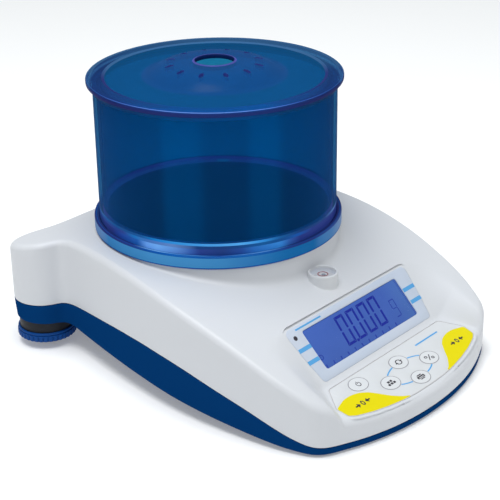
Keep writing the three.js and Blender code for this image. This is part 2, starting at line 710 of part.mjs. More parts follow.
// connector body that fits an opening in the rear wall
const connector = ({ left, right, bottom, top }, y0, y1) =>
  solidBox(left + GAP, right - GAP, y0, y1, bottom + GAP, top - GAP);

add('power_jack', finished(cut(
  connector(POWER_OPENING, 70, 81.2),
  solid(new THREE.CylinderGeometry(3.2, 3.2, 9, 16).translate(32, 79.2, 40)))), FINISH.black);
add('usb_port', finished(cut(
  connector(USB_OPENING, 68, 81.4),
  solidBox(-4.2, 4.2, 73, 84, 36.2, 43.8))), FINISH.zinc);
add('serial_port', finished(cut(
  connector(SERIAL_OPENING, 70, 81.2),
  solidBox(-47.4, -31.6, 76, 84, 36.6, 43.4))), FINISH.zinc);
add('socket_board', box(-52, 42, 62, 67.4, 33, 47), FINISH.board);

CASE_SCREWS.forEach(([x, y], i) => {
  const bottom = bottomZ(y);
  add('case_screw_' + (i + 1),
    screw(x, y, bottom + 1.6, bottom + 3.7, partingZ(y) + 14), FINISH.zinc);
});

// cable runs, (x, y, z)
add('load_cell_cable', cable([
  [10.2, 36, 41], [22, 26, 38], [30, -10, 33], [28, -44, 28.5], [22, -56, 20],
], 1.2, 14), FINISH.cable);
add('ribbon_cable', finished(solid(across([
  [-73.4, 17.0], [-72.6, 17.0], [-72.6, 26.0], [-84.6, 31.6], [-85.0, 30.9], [-73.4, 25.5],
], -12, 12))), FINISH.cable);
add('socket_cable', cable([
  [0, 59.6, 38], [-12, 57, 34], [-34, 57, 31], [-56, 48, 28],
  [-58, 20, 26], [-58.5, -20, 24], [-54, -46, 22], [-40, -60, 20],
], 1.4, 24), FINISH.cable);

// ---------------------------------------------------------------- assembly
balance.position.y = PAN_AXIS_Y;
const assembly = new THREE.Group();
assembly.name = 'precision_balance';
assembly.add(balance);

export default assembly;
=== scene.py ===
"""Bench balance: a two-part case, a round pan under a clear draught shield with a vented
lid, a sloping display and keypad, a spirit level and two levelling feet.

+z is up, the keypad end is at -y, the sockets are at +y and +x is to the right as seen from
the keypad end. Shape data is in millimetres from the pan axis; PAN_AXIS is that axis in the frame.
"""
import math

import bmesh
import bpy
import numpy as np
from mathutils import Matrix, Vector
from mathutils.geometry import delaunay_2d_cdt


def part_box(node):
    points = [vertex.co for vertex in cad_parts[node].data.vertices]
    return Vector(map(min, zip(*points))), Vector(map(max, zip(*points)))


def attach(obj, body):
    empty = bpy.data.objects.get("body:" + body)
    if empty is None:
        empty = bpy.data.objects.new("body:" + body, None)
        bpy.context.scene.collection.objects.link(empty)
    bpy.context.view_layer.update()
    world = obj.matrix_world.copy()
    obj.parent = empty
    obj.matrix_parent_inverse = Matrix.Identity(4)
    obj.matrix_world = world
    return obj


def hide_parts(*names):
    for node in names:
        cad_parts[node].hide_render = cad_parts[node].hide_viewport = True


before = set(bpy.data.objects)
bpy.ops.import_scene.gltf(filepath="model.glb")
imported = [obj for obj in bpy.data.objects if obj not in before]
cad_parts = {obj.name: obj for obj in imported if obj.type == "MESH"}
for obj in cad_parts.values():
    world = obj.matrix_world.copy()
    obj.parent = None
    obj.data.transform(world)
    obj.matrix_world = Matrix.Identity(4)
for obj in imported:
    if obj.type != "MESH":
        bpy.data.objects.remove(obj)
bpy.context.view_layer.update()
MM = 0.001
PI = math.pi


def centre(node):
    low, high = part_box(node)
    return (low + high) / 2


PAN_AXIS = np.array([centre("weighing_pan")[0], centre("weighing_pan")[1], 0.0])


def local(node):
    """Plan position of a node, in millimetres from the pan axis."""
    c = centre(node)
    return round((c[0] - PAN_AXIS[0]) * 1000, 3), round((c[1] - PAN_AXIS[1]) * 1000, 3)


def foot_of(node):
    return round(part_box(node)[0][2] * 1000, 3)


def top_of(node):
    return round(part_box(node)[1][2] * 1000, 3)


# ------------------------------------------------------------------ shape data (millimetres)
SEAT_R, SEAT_TOP = 65.6, 67.0       # round seat of the shield on the deck
SEAT_FILLET, SEAT_ROUND = 3.6, 1.0  # radii at its root and at its top edge
EDGE_R = 3.4                        # top edge of the upper case
SEAM = 0.15                         # each case half stops this far from the parting line
LIP = 1.6                           # both halves turn inwards this far at the seam
FOOT_X, FOOT_Y = local("foot_dial_right")
PAD_X, PAD_Y = 52, -118             # front rubber pads
CASE_SCREWS = [(-71.5, -98), (71.5, -98), (-66.5, 22), (66.5, 22)]

# deck on the centre line: y, z
DECK = np.array([
    [-150, 12.1], [-140, 18.3], [-130, 24.5], [-120, 30.2], [-110, 35.5], [-100, 40.3],
    [-90, 44.7], [-80, 48.7], [-70, 52.0], [-60, 55.2], [-50, 57.8], [-40, 60.1], [-30, 62.1],
    [-20, 63.8], [0, 66.0], [20, 66.5], [40, 65.5], [60, 62.9], [80, 58.6], [95, 54.3]], float)
# parting line between the case halves: y, z
PARTING = np.array([
    [-150, 4.3], [-130, 4.6], [-120, 5.9], [-110, 9.7], [-100, 13.6], [-90, 17.0], [-80, 19.8],
    [-70, 22.4], [-60, 24.9], [-50, 27.0], [-40, 28.5], [-20, 30.1], [0, 30.1], [20, 29.2],
    [55, 27.2], [95, 26.6]], float)
# underside: y, z
BOTTOM = np.array([
    [-150, 0.8], [-120, 1.3], [-100, 3.2], [-80, 4.9], [-60, 6.6], [-20, 9.6], [20, 12.2],
    [38, 13.6], [50, 15.7], [95, 16.4]], float)
# right half of the case outline from the front centre to the rear centre: x, y
OUTLINE = [
    (0, -145.24), (14, -144.65), (28, -142.82), (41, -139.87), (52, -136.3), (60, -133.0),
    (66.2, -130.3), (70.6, -127.6), (73.7, -124.0), (75.6, -119.6), (78.8, -110), (80.9, -100),
    (83.3, -80), (84.5, -62), (84.4, -44), (83.3, -30), (80.9, -12), (78.4, 3), (74.6, 23),
    (72.6, 33), (71.1, 42), (70.9, 47), (71.9, 50.2), (74.3, 52.0), (77.6, 53.6), (81.7, 57.1),
    (84.6, 62.3), (85.7, 68.3), (84.6, 74.4), (81.4, 79.8), (76.6, 83.6), (70.6, 85.5),
    (64.4, 85.4), (58.6, 83.6), (53.0, 81.2), (46, 79.9), (30, 80.0), (0, 80.8)]
# sunk bay round the display and keypad: y, half width of its floor, half width at its rim
BAY = np.array([
    [-80, 52.6, 57.0], [-86.2, 52.2, 61.0], [-88.5, 51.8, 64.0], [-92, 51.2, 65.6],
    [-101, 50.0, 66.5], [-108, 49.6, 66.6], [-111.4, 50.4, 66.5], [-118, 54.2, 66.2],
    [-124.5, 57.4, 65.6], [-130, 59.6, 65.6], [-135, 61.8, 66.2], [-142, 64.5, 68.0],
    [-152, 68.0, 71.0]], float)
# right half of the keypad sheet from the front centre: x, y, corner radius
SHEET_HALF = [
    (0, -141.5, 30), (12, -141.25, 30), (22, -140.4, 30), (32, -138.75, 30), (42, -136.5, 30),
    (51.8, -133.3, 8), (55.3, -131.0, 1.6), (56.2, -124.2, 2.2), (47.8, -112.95, 2.5)]
# right tare key: x, y, corner radius
TARE_KEY = [
    (55.6, -124.4, 1.2), (55.0, -130.8, 1.6), (51.9, -133.0, 4), (42, -136.25, 30),
    (32, -138.5, 30), (22.5, -140.2, 10), (14.5, -141.1, 0.5), (20.0, -138.6, 14),
    (24.8, -134.7, 20), (29.4, -129.3, 20), (32.6, -125.9, 8), (37.2, -123.2, 12),
    (42.5, -122.1, 14), (47.5, -122.1, 16)]


# ------------------------------------------------------------------ sloping faces
class Slope:
    """Plane z = height + slope * y, measured in the plane from the line y = y0."""

    def __init__(self, height, slope, y0):
        self.height, self.slope, self.y0 = height, slope, y0
        self.angle = math.atan(slope)

    def z(self, y):
        return self.height + self.slope * y

    def up(self, y):
        """Distance up the slope of plan position y."""
        return (y - self.y0) / math.cos(self.angle)

    def place(self, uv, depth):
        """Points u across, v up the slope and depth out of the face, as x, y, z."""
        uv = np.asarray(uv, float)
        sin, cos = math.sin(self.angle), math.cos(self.angle)
        u, v = uv[:, 0], uv[:, 1]
        return np.stack([u, self.y0 + v * cos - depth * sin,
                         self.height + self.slope * self.y0 + v * sin + depth * cos], 1)


DISPLAY = Slope(132.7, 0.994, -98.0)
KEYPAD = Slope(50.52, 0.256, -128.0)

# round keys: centre on the keypad face
KEYS = {name: (x, KEYPAD.up(y)) for name, x, y in (
    ("power_key", -31.7, -119.3), ("mode_key", 0.0, -121.2), ("units_key", 17.0, -128.5),
    ("sample_key", -17.0, -128.5), ("print_key", 0.0, -135.0))}
KEY_R = 5.0
KEY_STRETCH = np.array([1.26, 0.92])    # the keys are wider than deep


# ------------------------------------------------------------------ height fields of the case
def smooth(values, sigma, step, mode="edge"):
    """Gaussian smoothing of evenly spaced samples."""
    reach = int(4 * sigma / step) + 1
    kernel = np.exp(-0.5 * (np.arange(-reach, reach + 1) * step / sigma) ** 2)
    kernel /= kernel.sum()
    return np.convolve(np.pad(values, reach, mode=mode), kernel, mode="valid")


FINE_STEP = 0.25
FINE_Y = np.arange(-156.0, 100.01, FINE_STEP)


def station_curve(stations, column, sigma):
    """Function of y: one column of a station table, smoothed."""
    rows = stations[np.argsort(stations[:, 0])]
    curve = smooth(np.interp(FINE_Y, rows[:, 0], rows[:, column]), sigma, FINE_STEP)
    return lambda y: np.interp(y, FINE_Y, curve)


parting = station_curve(PARTING, 1, sigma=4.0)
bottom = station_curve(BOTTOM, 1, sigma=3.0)
bay_floor_x = station_curve(BAY, 1, sigma=1.6)
bay_rim_x = station_curve(BAY, 2, sigma=2.2)
DECK_POLY = np.polyfit(DECK[:, 0], DECK[:, 1], 5)


def soft_max(a, b, k):
    return 0.5 * (a + b + np.sqrt((a - b) ** 2 + k * k))


def soft_min(a, b, k):
    return 0.5 * (a + b - np.sqrt((a - b) ** 2 + k * k))


def top_z(x, y):
    """Height of the upper case's top surface, without the round shield seat."""
    x, y = np.asarray(x, float), np.asarray(y, float)
    deck = np.polyval(DECK_POLY, y)
    floor = soft_max(DISPLAY.z(y), KEYPAD.z(y), 0.7)
    floor_x, rim_x = bay_floor_x(y), bay_rim_x(y)
    t = (np.abs(x) - floor_x) / (rim_x - floor_x)       # 0 at the bay floor, 1 at its rim
    rise = 0.5 * (t + np.sqrt(t * t + 0.03)) - 0.06 * np.exp(-(t / 0.35) ** 2)
    rise = np.where(t < -0.6, 0.0, np.maximum(rise, 0.0))
    bay = floor + soft_max(deck - floor, 0.15, 0.3) * rise
    softness = 0.55 + 0.9 * np.clip((-90 - y) / 8, 0, 1)
    return np.where(y > -82, deck, soft_min(deck, bay, softness))


# ------------------------------------------------------------------ loops and fills in the plane
def ring_pts(r, n=48, c=(0, 0), start=0.0):
    t = np.linspace(start, 2 * PI + start, n, endpoint=False)
    return np.stack([c[0] + r * np.cos(t), c[1] + r * np.sin(t)], 1)


def circle(r, n, c=(0, 0)):
    """Ring of a turned surface; r may vary round it."""
    t = np.arange(n) * 2 * PI / n
    return np.stack([c[0] + r * np.cos(t), c[1] + r * np.sin(t)], 1)


def oval_pts(r, n, c):
    """Outline of a round key, stretched."""
    return ring_pts(r, n) * KEY_STRETCH + c


def rect(x0, y0, x1, y1):
    return np.array([[x0, y0], [x1, y0], [x1, y1], [x0, y1]], float)


def bar(x0, y0, x1, y1, width):
    d = np.array([x1 - x0, y1 - y0], float)
    d /= np.linalg.norm(d)
    side = np.array([-d[1], d[0]]) * width / 2
    a, b = np.array([x0, y0]), np.array([x1, y1])
    return np.array([a + side, a - side, b - side, b + side])


def arc_band(c, r, width, start, end):
    t = np.linspace(start, end, 32)
    outer, inner = (np.stack([c[0] + q * np.cos(t), c[1] + q * np.sin(t)], 1)
                    for q in (r + width / 2, r - width / 2))
    return np.vstack([outer, inner[::-1]])


def stroke(line, width):
    """Outline of a constant-width line with square ends."""
    t = np.gradient(line, axis=0)
    t /= np.linalg.norm(t, axis=1)[:, None]
    side = np.stack([-t[:, 1], t[:, 0]], 1) * width / 2
    return np.vstack([line + side, (line - side)[::-1]])


def lift(xy, z):
    """Plan points at height z, one value or one per point."""
    return np.column_stack([xy, np.broadcast_to(z, len(xy))])


def rings(profile, n, c=(0, 0)):
    """One circle for each (radius, z)."""
    return [lift(circle(r, n, c), z) for r, z in profile]


def grid(xs, ys):
    gx, gy = np.meshgrid(xs, ys)
    return np.stack([gx.ravel(), gy.ravel()], 1)


def anticlockwise(loop):
    loop = np.asarray(loop, float)
    x, y = loop[:, 0], loop[:, 1]
    return loop[::-1] if np.sum(x * np.roll(y, -1) - np.roll(x, -1) * y) < 0 else loop


def start_right(loop):
    """Anticlockwise loop that starts at the point nearest the +x direction."""
    loop = anticlockwise(loop)
    c = loop.mean(0)
    angle = np.arctan2(loop[:, 1] - c[1], loop[:, 0] - c[0])
    return np.roll(loop, -int(np.argmin(np.abs(angle))), axis=0)


def offset(loop, distance):
    """Moves a loop to its left: inwards when it runs anticlockwise."""
    t = np.roll(loop, -1, 0) - np.roll(loop, 1, 0)
    t /= np.linalg.norm(t, axis=1)[:, None]
    return loop + np.stack([-t[:, 1], t[:, 0]], 1) * np.reshape(distance, (-1, 1))


def resample(loop, n):
    loop = np.asarray(loop, float)
    c = np.vstack([loop, loop[:1]])
    s = np.r_[0, np.cumsum(np.linalg.norm(np.diff(c, axis=0), axis=1))]
    t = np.linspace(0, s[-1], n, endpoint=False)
    return np.stack([np.interp(t, s, c[:, k]) for k in range(loop.shape[1])], 1)


def catmull(pts, per):
    """Closed centripetal spline with per points for each span."""
    p = np.asarray(pts, float)
    n = len(p)
    out = []
    for i in range(n):
        p0, p1, p2, p3 = p[(i - 1) % n], p[i], p[(i + 1) % n], p[(i + 2) % n]
        t0 = 0.0
        t1 = t0 + max(np.linalg.norm(p1 - p0), 1e-9) ** 0.5
        t2 = t1 + max(np.linalg.norm(p2 - p1), 1e-9) ** 0.5
        t3 = t2 + max(np.linalg.norm(p3 - p2), 1e-9) ** 0.5
        for t in np.linspace(t1, t2, per, endpoint=False):
            a1 = (t1 - t) / (t1 - t0) * p0 + (t - t0) / (t1 - t0) * p1
            a2 = (t2 - t) / (t2 - t1) * p1 + (t - t1) / (t2 - t1) * p2
            a3 = (t3 - t) / (t3 - t2) * p2 + (t - t2) / (t3 - t2) * p3
            b1 = (t2 - t) / (t2 - t0) * a1 + (t - t0) / (t2 - t0) * a2
            b2 = (t3 - t) / (t3 - t1) * a2 + (t - t1) / (t3 - t1) * a3
            out.append((t2 - t) / (t2 - t1) * b1 + (t - t1) / (t2 - t1) * b2)
    return np.array(out)


def round_poly(pts, radii, seg):
    """Closed polygon with rounded corners; one radius or one per corner."""
    p = np.asarray(pts, float)
    n = len(p)
    out = []
    for i, r in enumerate(np.broadcast_to(radii, n)):
        before, corner, after = p[(i - 1) % n], p[i], p[(i + 1) % n]
        u, w = before - corner, after - corner
        len_u, len_w = np.linalg.norm(u), np.linalg.norm(w)
        u, w = u / len_u, w / len_w
        angle = math.acos(np.clip(np.dot(u, w), -1, 1))
        if r <= 0 or angle > PI - 1e-3:
            out.append(corner)
            continue
        d = min(r / math.tan(angle / 2), 0.48 * len_u, 0.48 * len_w)
        r_fit = d * math.tan(angle / 2)
        start, end = corner + u * d, corner + w * d
        mid = corner + (u + w) / np.linalg.norm(u + w) * math.hypot(d, r_fit)
        a0 = math.atan2(*(start - mid)[::-1])
        a1 = math.atan2(*(end - mid)[::-1])
        turn = (a1 - a0 + PI) % (2 * PI) - PI
        for k in range(seg + 1):
            t = a0 + turn * k / seg
            out.append(mid + r_fit * np.array([math.cos(t), math.sin(t)]))
    return np.array(out)


def inside(poly, pts):
    """Which points lie inside a closed polygon."""
    x, y = pts[:, 0], pts[:, 1]
    result = np.zeros(len(pts), bool)
    for (x0, y0), (x1, y1) in zip(poly, np.roll(poly, -1, axis=0)):
        if y0 == y1:
            continue
        crossed = (y0 > y) != (y1 > y)
        result ^= crossed & (x < (x1 - x0) * (y - y0) / (y1 - y0) + x0)
    return result


def away(pts, loop, distance):
    """Points no closer than distance to the loop's vertices."""
    keep = np.ones(len(pts), bool)
    for s in range(0, len(loop), 64):
        d2 = ((pts[:, None, :] - loop[None, s:s + 64, :]) ** 2).sum(2).min(1)
        keep &= d2 > distance * distance
    return pts[keep]


def fill(outer, holes=(), points=None):
    """Anticlockwise triangles of a bounded region, with extra inner points: (xy, triangles)."""
    loops = [np.asarray(l, float) for l in (outer, *holes)]
    xy, edges = [], []
    for l in loops:
        n, m = len(xy), len(l)
        xy += [Vector(p[:2]) for p in l]
        edges += [(n + i, n + (i + 1) % m) for i in range(m)]
    if points is not None and len(points):
        xy += [Vector(p[:2]) for p in points]
    result = delaunay_2d_cdt(xy, edges, [], 0, 1e-7)
    pts = np.array([tuple(p) for p in result[0]], float)
    tri = np.array(list(result[2]), int)
    mid = pts[tri].mean(axis=1)
    keep = inside(loops[0], mid)
    for hole in loops[1:]:
        keep &= ~inside(hole, mid)
    tri = tri[keep]
    a, b, c = pts[tri[:, 0]], pts[tri[:, 1]], pts[tri[:, 2]]
    area = (b[:, 0] - a[:, 0]) * (c[:, 1] - a[:, 1]) - (b[:, 1] - a[:, 1]) * (c[:, 0] - a[:, 0])
    tri[area < 0] = tri[area < 0][:, ::-1]
    return pts, tri


# ------------------------------------------------------------------ mesh building
MATS = {}       # materials by short key, filled in the materials section


class Builder:
    """Collects the vertices, faces and material slots of one mesh."""

    def __init__(self):
        self.verts, self.faces, self.slots, self.count = [], [], [], 0

    def add(self, verts, faces, slot=0):
        """slot is one index, or a list with one per face."""
        verts = np.asarray(verts, float).reshape(-1, 3)
        self.verts.append(verts)
        self.faces += [[i + self.count for i in f] for f in faces]
        self.slots += slot if isinstance(slot, list) else [slot] * len(faces)
        self.count += len(verts)

    def strips(self, loops, slot=0, flip=False):
        """Quads between successive closed loops that hold the same number of points."""
        n = len(loops[0])
        faces = []
        for a in range(0, (len(loops) - 1) * n, n):
            for i in range(n):
                j = (i + 1) % n
                quad = (a + i, a + j, a + n + j, a + n + i)
                faces.append(quad[::-1] if flip else quad)
        self.add(np.concatenate(loops), faces, slot)


def new_object(name, verts, faces, materials):
    mesh = bpy.data.meshes.new(name)
    mesh.from_pydata([tuple(p) for p in verts], [], [tuple(int(i) for i in f) for f in faces])
    mesh.validate()
    for material in materials:
        mesh.materials.append(material)
    ob = bpy.data.objects.new(name, mesh)
    bpy.context.scene.collection.objects.link(ob)
    return ob


def build(name, builder, mats, weld, body="case", slot=None, replaces=None, smooth=True,
          sharp=None):
    """Makes and welds the piece. mats holds keys of MATS split by spaces, weld is in metres,
    sharp is the angle in degrees above which edges stay sharp."""
    verts = np.concatenate(builder.verts) * MM + PAN_AXIS
    ob = new_object(name, verts, builder.faces, [MATS[key] for key in mats.split()])
    mesh = ob.data
    if len(builder.slots) == len(mesh.polygons):    # validation may have dropped faces
        mesh.polygons.foreach_set("material_index", np.asarray(builder.slots, np.int32))
    mesh.polygons.foreach_set("use_smooth", np.full(len(mesh.polygons), smooth))
    mesh.update()
    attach(ob, body)
    if replaces:
        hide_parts(replaces)
    bm = bmesh.new()
    bm.from_mesh(mesh)
    bmesh.ops.remove_doubles(bm, verts=bm.verts, dist=weld)
    bmesh.ops.recalc_face_normals(bm, faces=bm.faces)
    bm.to_mesh(mesh)
    bm.free()
    mesh.update()
    if sharp:
        mesh.polygons.foreach_set("use_smooth", np.ones(len(mesh.polygons), bool))
        mesh.set_sharp_from_angle(angle=math.radians(sharp))
    return ob


def solidify(ob, thickness):
    modifier = ob.modifiers.new("thickness", "SOLIDIFY")
    modifier.thickness = thickness * MM
    modifier.offset = -1


def lathe(name, profile, mats, n, sharp, c=(0, 0), radii=None, shape=None, zone=None, **tags):
    """Turned solid from a closed (r, z) profile; corners are rounded when radii are given.
    shape(r, z, angles) varies the radius, zone(r, z) picks the slot of each profile step."""
    profile = np.asarray(profile, float) if radii is None else round_poly(profile, radii, 5)
    angles = np.arange(n) * 2 * PI / n
    loops, faces, slots = [], [], []
    for k, (r, z) in enumerate(profile):
        loops.append(lift(circle(shape(r, z, angles) if shape else r, n, c), z))
        following = (k + 1) % len(profile)
        if r < 1e-6 and profile[following][0] < 1e-6:
            continue
        a, b = k * n, following * n
        faces += [(a + i, a + (i + 1) % n, b + (i + 1) % n, b + i) for i in range(n)]
        slots += [zone(*(0.5 * (profile[k] + profile[following]))) if zone else 0] * n
    piece = Builder()
    piece.add(np.concatenate(loops), faces, slots)
    return build(name, piece, mats, weld=1e-6, sharp=sharp, **tags)


def slab(name, place, outer, holes, low, high, mats, bevel, points=None, dome=None, **tags):
    """Bevelled plate on a face, between depths low and high; dome(points) raises its top."""
    rise = dome or (lambda pts: 0.0)
    loops = [anticlockwise(l) for l in (outer, *holes)]
    insets = [offset(l, -bevel if i else bevel) for i, l in enumerate(loops)]
    piece = Builder()
    pts, tri = fill(insets[0], insets[1:], points)
    piece.add(place(pts, high + rise(pts)), tri)
    for loop, inset in zip(loops, insets):
        up = rise(inset)
        piece.strips([place(inset, high + up),
                      place(loop + (inset - loop) * 0.3, high - bevel * 0.3 + up * 0.8),
                      place(loop, high - bevel + up * 0.6),
                      place(loop, low)])
    pts, tri = fill(loops[0], loops[1:])
    piece.add(place(pts, low), tri[:, ::-1])
    return build(name, piece, mats, weld=1.5e-6, sharp=40, **tags)


def prints(name, place, shapes, low, high, mats, **tags):
    """Thin flat shapes on a face: each is an outline or (outline, [holes])."""
    piece = Builder()
    for shape in shapes:
        outer, holes = shape if isinstance(shape, tuple) else (shape, [])
        loops = [anticlockwise(l) for l in (outer, *holes)]
        pts, tri = fill(loops[0], loops[1:])
        piece.add(place(pts, high), tri)
        piece.add(place(pts, low), tri[:, ::-1])
        for loop in loops:
            piece.strips([place(loop, high), place(loop, low)])
    return build(name, piece, mats, weld=5e-7, smooth=False, **tags)


# ------------------------------------------------------------------ material helpers
def rgba(color):
    return (*color, 1)


def srgb(*levels):
    """Linear colour from 0-255 display levels."""
    out = []
    for v in levels:
        v = v / 255.0
        out.append(v / 12.92 if v <= 0.04045 else ((v + 0.055) / 1.055) ** 2.4)
    return (*out, 1.0)


def scaled(color, gain, lift_by=0.0):
    return rgba(min(1, c * gain + lift_by) for c in color[:3])


INPUTS = {"color": "Base Color", "rough": "Roughness", "metal": "Metallic",
          "spec": "Specular IOR Level", "normal": "Normal", "emit": "Emission Color",
          "emit_strength": "Emission Strength", "aniso": "Anisotropic"}


class Mat:
    """A new material in MATS and short ways to add its nodes."""

    def __init__(self, key, name, principled=True):
        MATS[key] = bpy.data.materials.new(name)
        MATS[key].use_nodes = True
        self.tree = MATS[key].node_tree
        self.tree.nodes.clear()
        self.out = self.new("OutputMaterial")
        if principled:
            self.bsdf = self.new("BsdfPrincipled")
            self.link(self.bsdf.outputs[0], self.out.inputs[0])
        self.coords = self.new("TexCoord").outputs["Object"]

    def new(self, kind):
        return self.tree.nodes.new("ShaderNode" + kind)

    def link(self, output, socket):
        self.tree.links.new(output, socket)

    def feed(self, socket, value):
        """Sets a number or colour, or links an output."""
        if isinstance(value, (int, float, tuple)):
            socket.default_value = value
        else:
            self.link(value, socket)

    def set(self, **values):
        for key, value in values.items():
            self.feed(self.bsdf.inputs[INPUTS[key]], value)

    def noise(self, scale, detail=3, rough=0.5, vector=None):
        n = self.new("TexNoise")
        n.inputs["Scale"].default_value = scale
        n.inputs["Detail"].default_value = detail
        n.inputs["Roughness"].default_value = rough
        self.link(vector or self.coords, n.inputs["Vector"])
        return n.outputs["Fac"]

    def math(self, operation, *operands):
        n = self.new("Math")
        n.operation = operation
        for socket, value in zip(n.inputs, operands):
            self.feed(socket, value)
        return n.outputs[0]

    def add(self, a, b):
        return self.math("ADD", a, b)

    def times(self, a, b):
        return self.math("MULTIPLY", a, b)

    def spread(self, value, low, high, source=(0.3, 0.7)):
        """Maps the source range, by default the middle of a noise, to low..high."""
        n = self.new("MapRange")
        for i, v in enumerate((*source, low, high), 1):
            n.inputs[i].default_value = v
        self.link(value, n.inputs[0])
        return n.outputs[0]

    def mix(self, factor, a, b):
        n = self.new("Mix")
        n.data_type = "RGBA"
        for i, value in ((0, factor), (6, a), (7, b)):      # the colour sockets
            self.feed(n.inputs[i], value)
        return n.outputs[2]

    def bump(self, height, strength, distance):
        n = self.new("Bump")
        n.inputs["Strength"].default_value = strength
        n.inputs["Distance"].default_value = distance
        self.link(height, n.inputs["Height"])
        return n.outputs[0]

    def xyz(self):
        n = self.new("SeparateXYZ")
        self.link(self.coords, n.inputs[0])
        return n.outputs

    def ramp(self, value, stops):
        n = self.new("ValToRGB")
        elements = n.color_ramp.elements
        while len(elements) < len(stops):
            elements.new(0.5)
        for element, (position, color) in zip(elements, stops):
            element.position = position
            element.color = color
        self.link(value, n.inputs[0])
        return n.outputs[0]

    def from_axis(self):
        """Plan x and y from the pan axis."""
        xyz = self.xyz()
        return [self.math("SUBTRACT", xyz[i], float(PAN_AXIS[i])) for i in (0, 1)]

    def azimuth(self):
        """0..1 round the pan axis, 0.5 towards the camera."""
        a = math.radians(222.3)
        x, y = self.from_axis()
        along = self.add(self.times(x, math.cos(a)), self.times(y, math.sin(a)))
        across = self.math("SUBTRACT", self.times(y, math.cos(a)), self.times(x, math.sin(a)))
        return self.add(self.times(self.math("ARCTAN2", across, along), 1 / (2 * PI)), 0.5)

    def mix_shader(self, factor, a, b):
        n = self.new("MixShader")
        for socket, value in zip(n.inputs, (factor, a, b)):
            self.link(value, socket)
        return n.outputs[0]

    def gloss_over(self, base, gloss, ior, amount):
        """Output: the gloss shader over base by Fresnel, on front faces only."""
        fresnel = self.new("Fresnel")
        fresnel.inputs["IOR"].default_value = ior
        back = self.new("NewGeometry").outputs["Backfacing"]
        front = self.math("SUBTRACT", 1.0, back)
        factor = self.times(self.times(fresnel.outputs[0], front), amount)
        self.link(self.mix_shader(factor, base, gloss), self.out.inputs[0])


def plastic(key, name, color, rough, vary, grain, scale, spec):
    """Moulded plastic: slow tone change, fine grain in colour, roughness and bump."""
    m = Mat(key, name)
    slow = m.noise(scale=14 * scale, detail=2)
    fine = m.noise(scale=2600 * scale, detail=3, rough=0.6)
    mid = m.noise(scale=420 * scale, detail=3, rough=0.55)
    tone = m.mix(slow, scaled(color, 1 - vary * 2.2), color)
    tone = m.mix(m.spread(fine, 0, 0.25), tone, scaled(color, 1 + vary))
    roughness = m.add(m.spread(mid, rough - 0.035, rough + 0.035), m.spread(fine, -0.02, 0.02))
    height = m.add(m.times(fine, 0.7), m.times(mid, 0.3))
    m.set(color=tone, rough=roughness, spec=spec,
          normal=m.bump(height, strength=0.25, distance=grain * MM))


def metal(key, name, color, rough, brushed=None):
    """Metal with a fine finish; brushed stretches the fine noise per axis."""
    m = Mat(key, name)
    vector = m.coords
    if brushed:
        mapping = m.new("Mapping")
        mapping.inputs["Scale"].default_value = brushed
        m.link(vector, mapping.inputs["Vector"])
        vector = mapping.outputs[0]
    fine = m.noise(scale=900.0, detail=4, rough=0.6, vector=vector)
    slow = m.noise(scale=60.0, detail=3)
    roughness = m.add(m.spread(fine, rough - 0.07, rough + 0.09), m.spread(slow, -0.03, 0.03))
    m.set(color=m.mix(slow, scaled(color, 0.86), color), metal=1.0, rough=roughness,
          normal=m.bump(fine, strength=0.2, distance=0.00001))


def clear(key, name, tint, body, share, gloss, rough, edge_tint=None, edge_body=None,
          edge_share=0.0, stops=None, glow=0.0):
    """Clear blue moulding: tinted transparency mixed with a share of diffuse body colour.
    The edge values act where it is seen on edge; stops colour the body by azimuth towards the
    camera, which paints highlights, reflections and shade into it; glow adds emission, painted
    light."""
    m = Mat(key, name, principled=False)
    tint, body = rgba(tint), rgba(body)
    wave = m.noise(scale=30, detail=2)
    speck = m.noise(scale=900, detail=3, rough=0.6)
    fine = m.noise(scale=2200, detail=2)
    weight = m.new("LayerWeight")
    weight.inputs[0].default_value = 0.5
    edge = m.math("POWER", weight.outputs["Facing"], 3.0)
    height = m.add(m.times(wave, 0.8), m.times(fine, 0.05))
    normal = m.bump(height, strength=0.25, distance=0.00005)

    through = m.mix(m.spread(speck, 0.0, 0.02), tint, scaled(tint, 1.18, 0.01))
    through = m.mix(m.times(wave, 0.12), through, scaled(tint, 0.85))
    if edge_tint:
        through = m.mix(edge, through, rgba(edge_tint))
    # painted light: the ramp by azimuth towards the camera paints highlights, reflections and shade
    # into the body colour
    solid = m.ramp(m.azimuth(), stops) if stops else body
    solid = m.mix(m.spread(speck, 0.0, 0.03), solid, scaled(body, 1.3, 0.012))
    if edge_body:
        solid = m.mix(edge, solid, rgba(edge_body))

    transparent = m.new("BsdfTransparent")
    diffuse = m.new("BsdfDiffuse")
    m.link(through, transparent.inputs["Color"])
    m.link(solid, diffuse.inputs["Color"])
    body_shader = diffuse.outputs[0]
    # painted glow: emission on clear plastic that is no lamp
    if glow:
        emission = m.new("Emission")
        emission.inputs["Strength"].default_value = glow
        m.link(solid, emission.inputs["Color"])
        both = m.new("AddShader")
        m.link(body_shader, both.inputs[0])
        m.link(emission.outputs[0], both.inputs[1])
        body_shader = both.outputs[0]
    glossy = m.new("BsdfGlossy")
    m.link(normal, glossy.inputs["Normal"])
    m.link(m.spread(fine, rough - 0.015, rough + 0.02), glossy.inputs["Roughness"])
    base = m.mix_shader(m.add(m.times(edge, edge_share), share), transparent.outputs[0],
                        body_shader)
    m.gloss_over(base, glossy.outputs[0], ior=1.49, amount=gloss)


def turn_stops(rows):
    """Ramp stops from (degrees from the camera side, linear colour)."""
    return [(angle / 360 + 0.5, color) for angle, color in rows]


def around(*rows, gain=1.0):
    """Ramp stops from (degrees from the camera side, red, green, blue display levels)."""
    return turn_stops([(angle, scaled(srgb(*levels), gain)) for angle, *levels in rows])


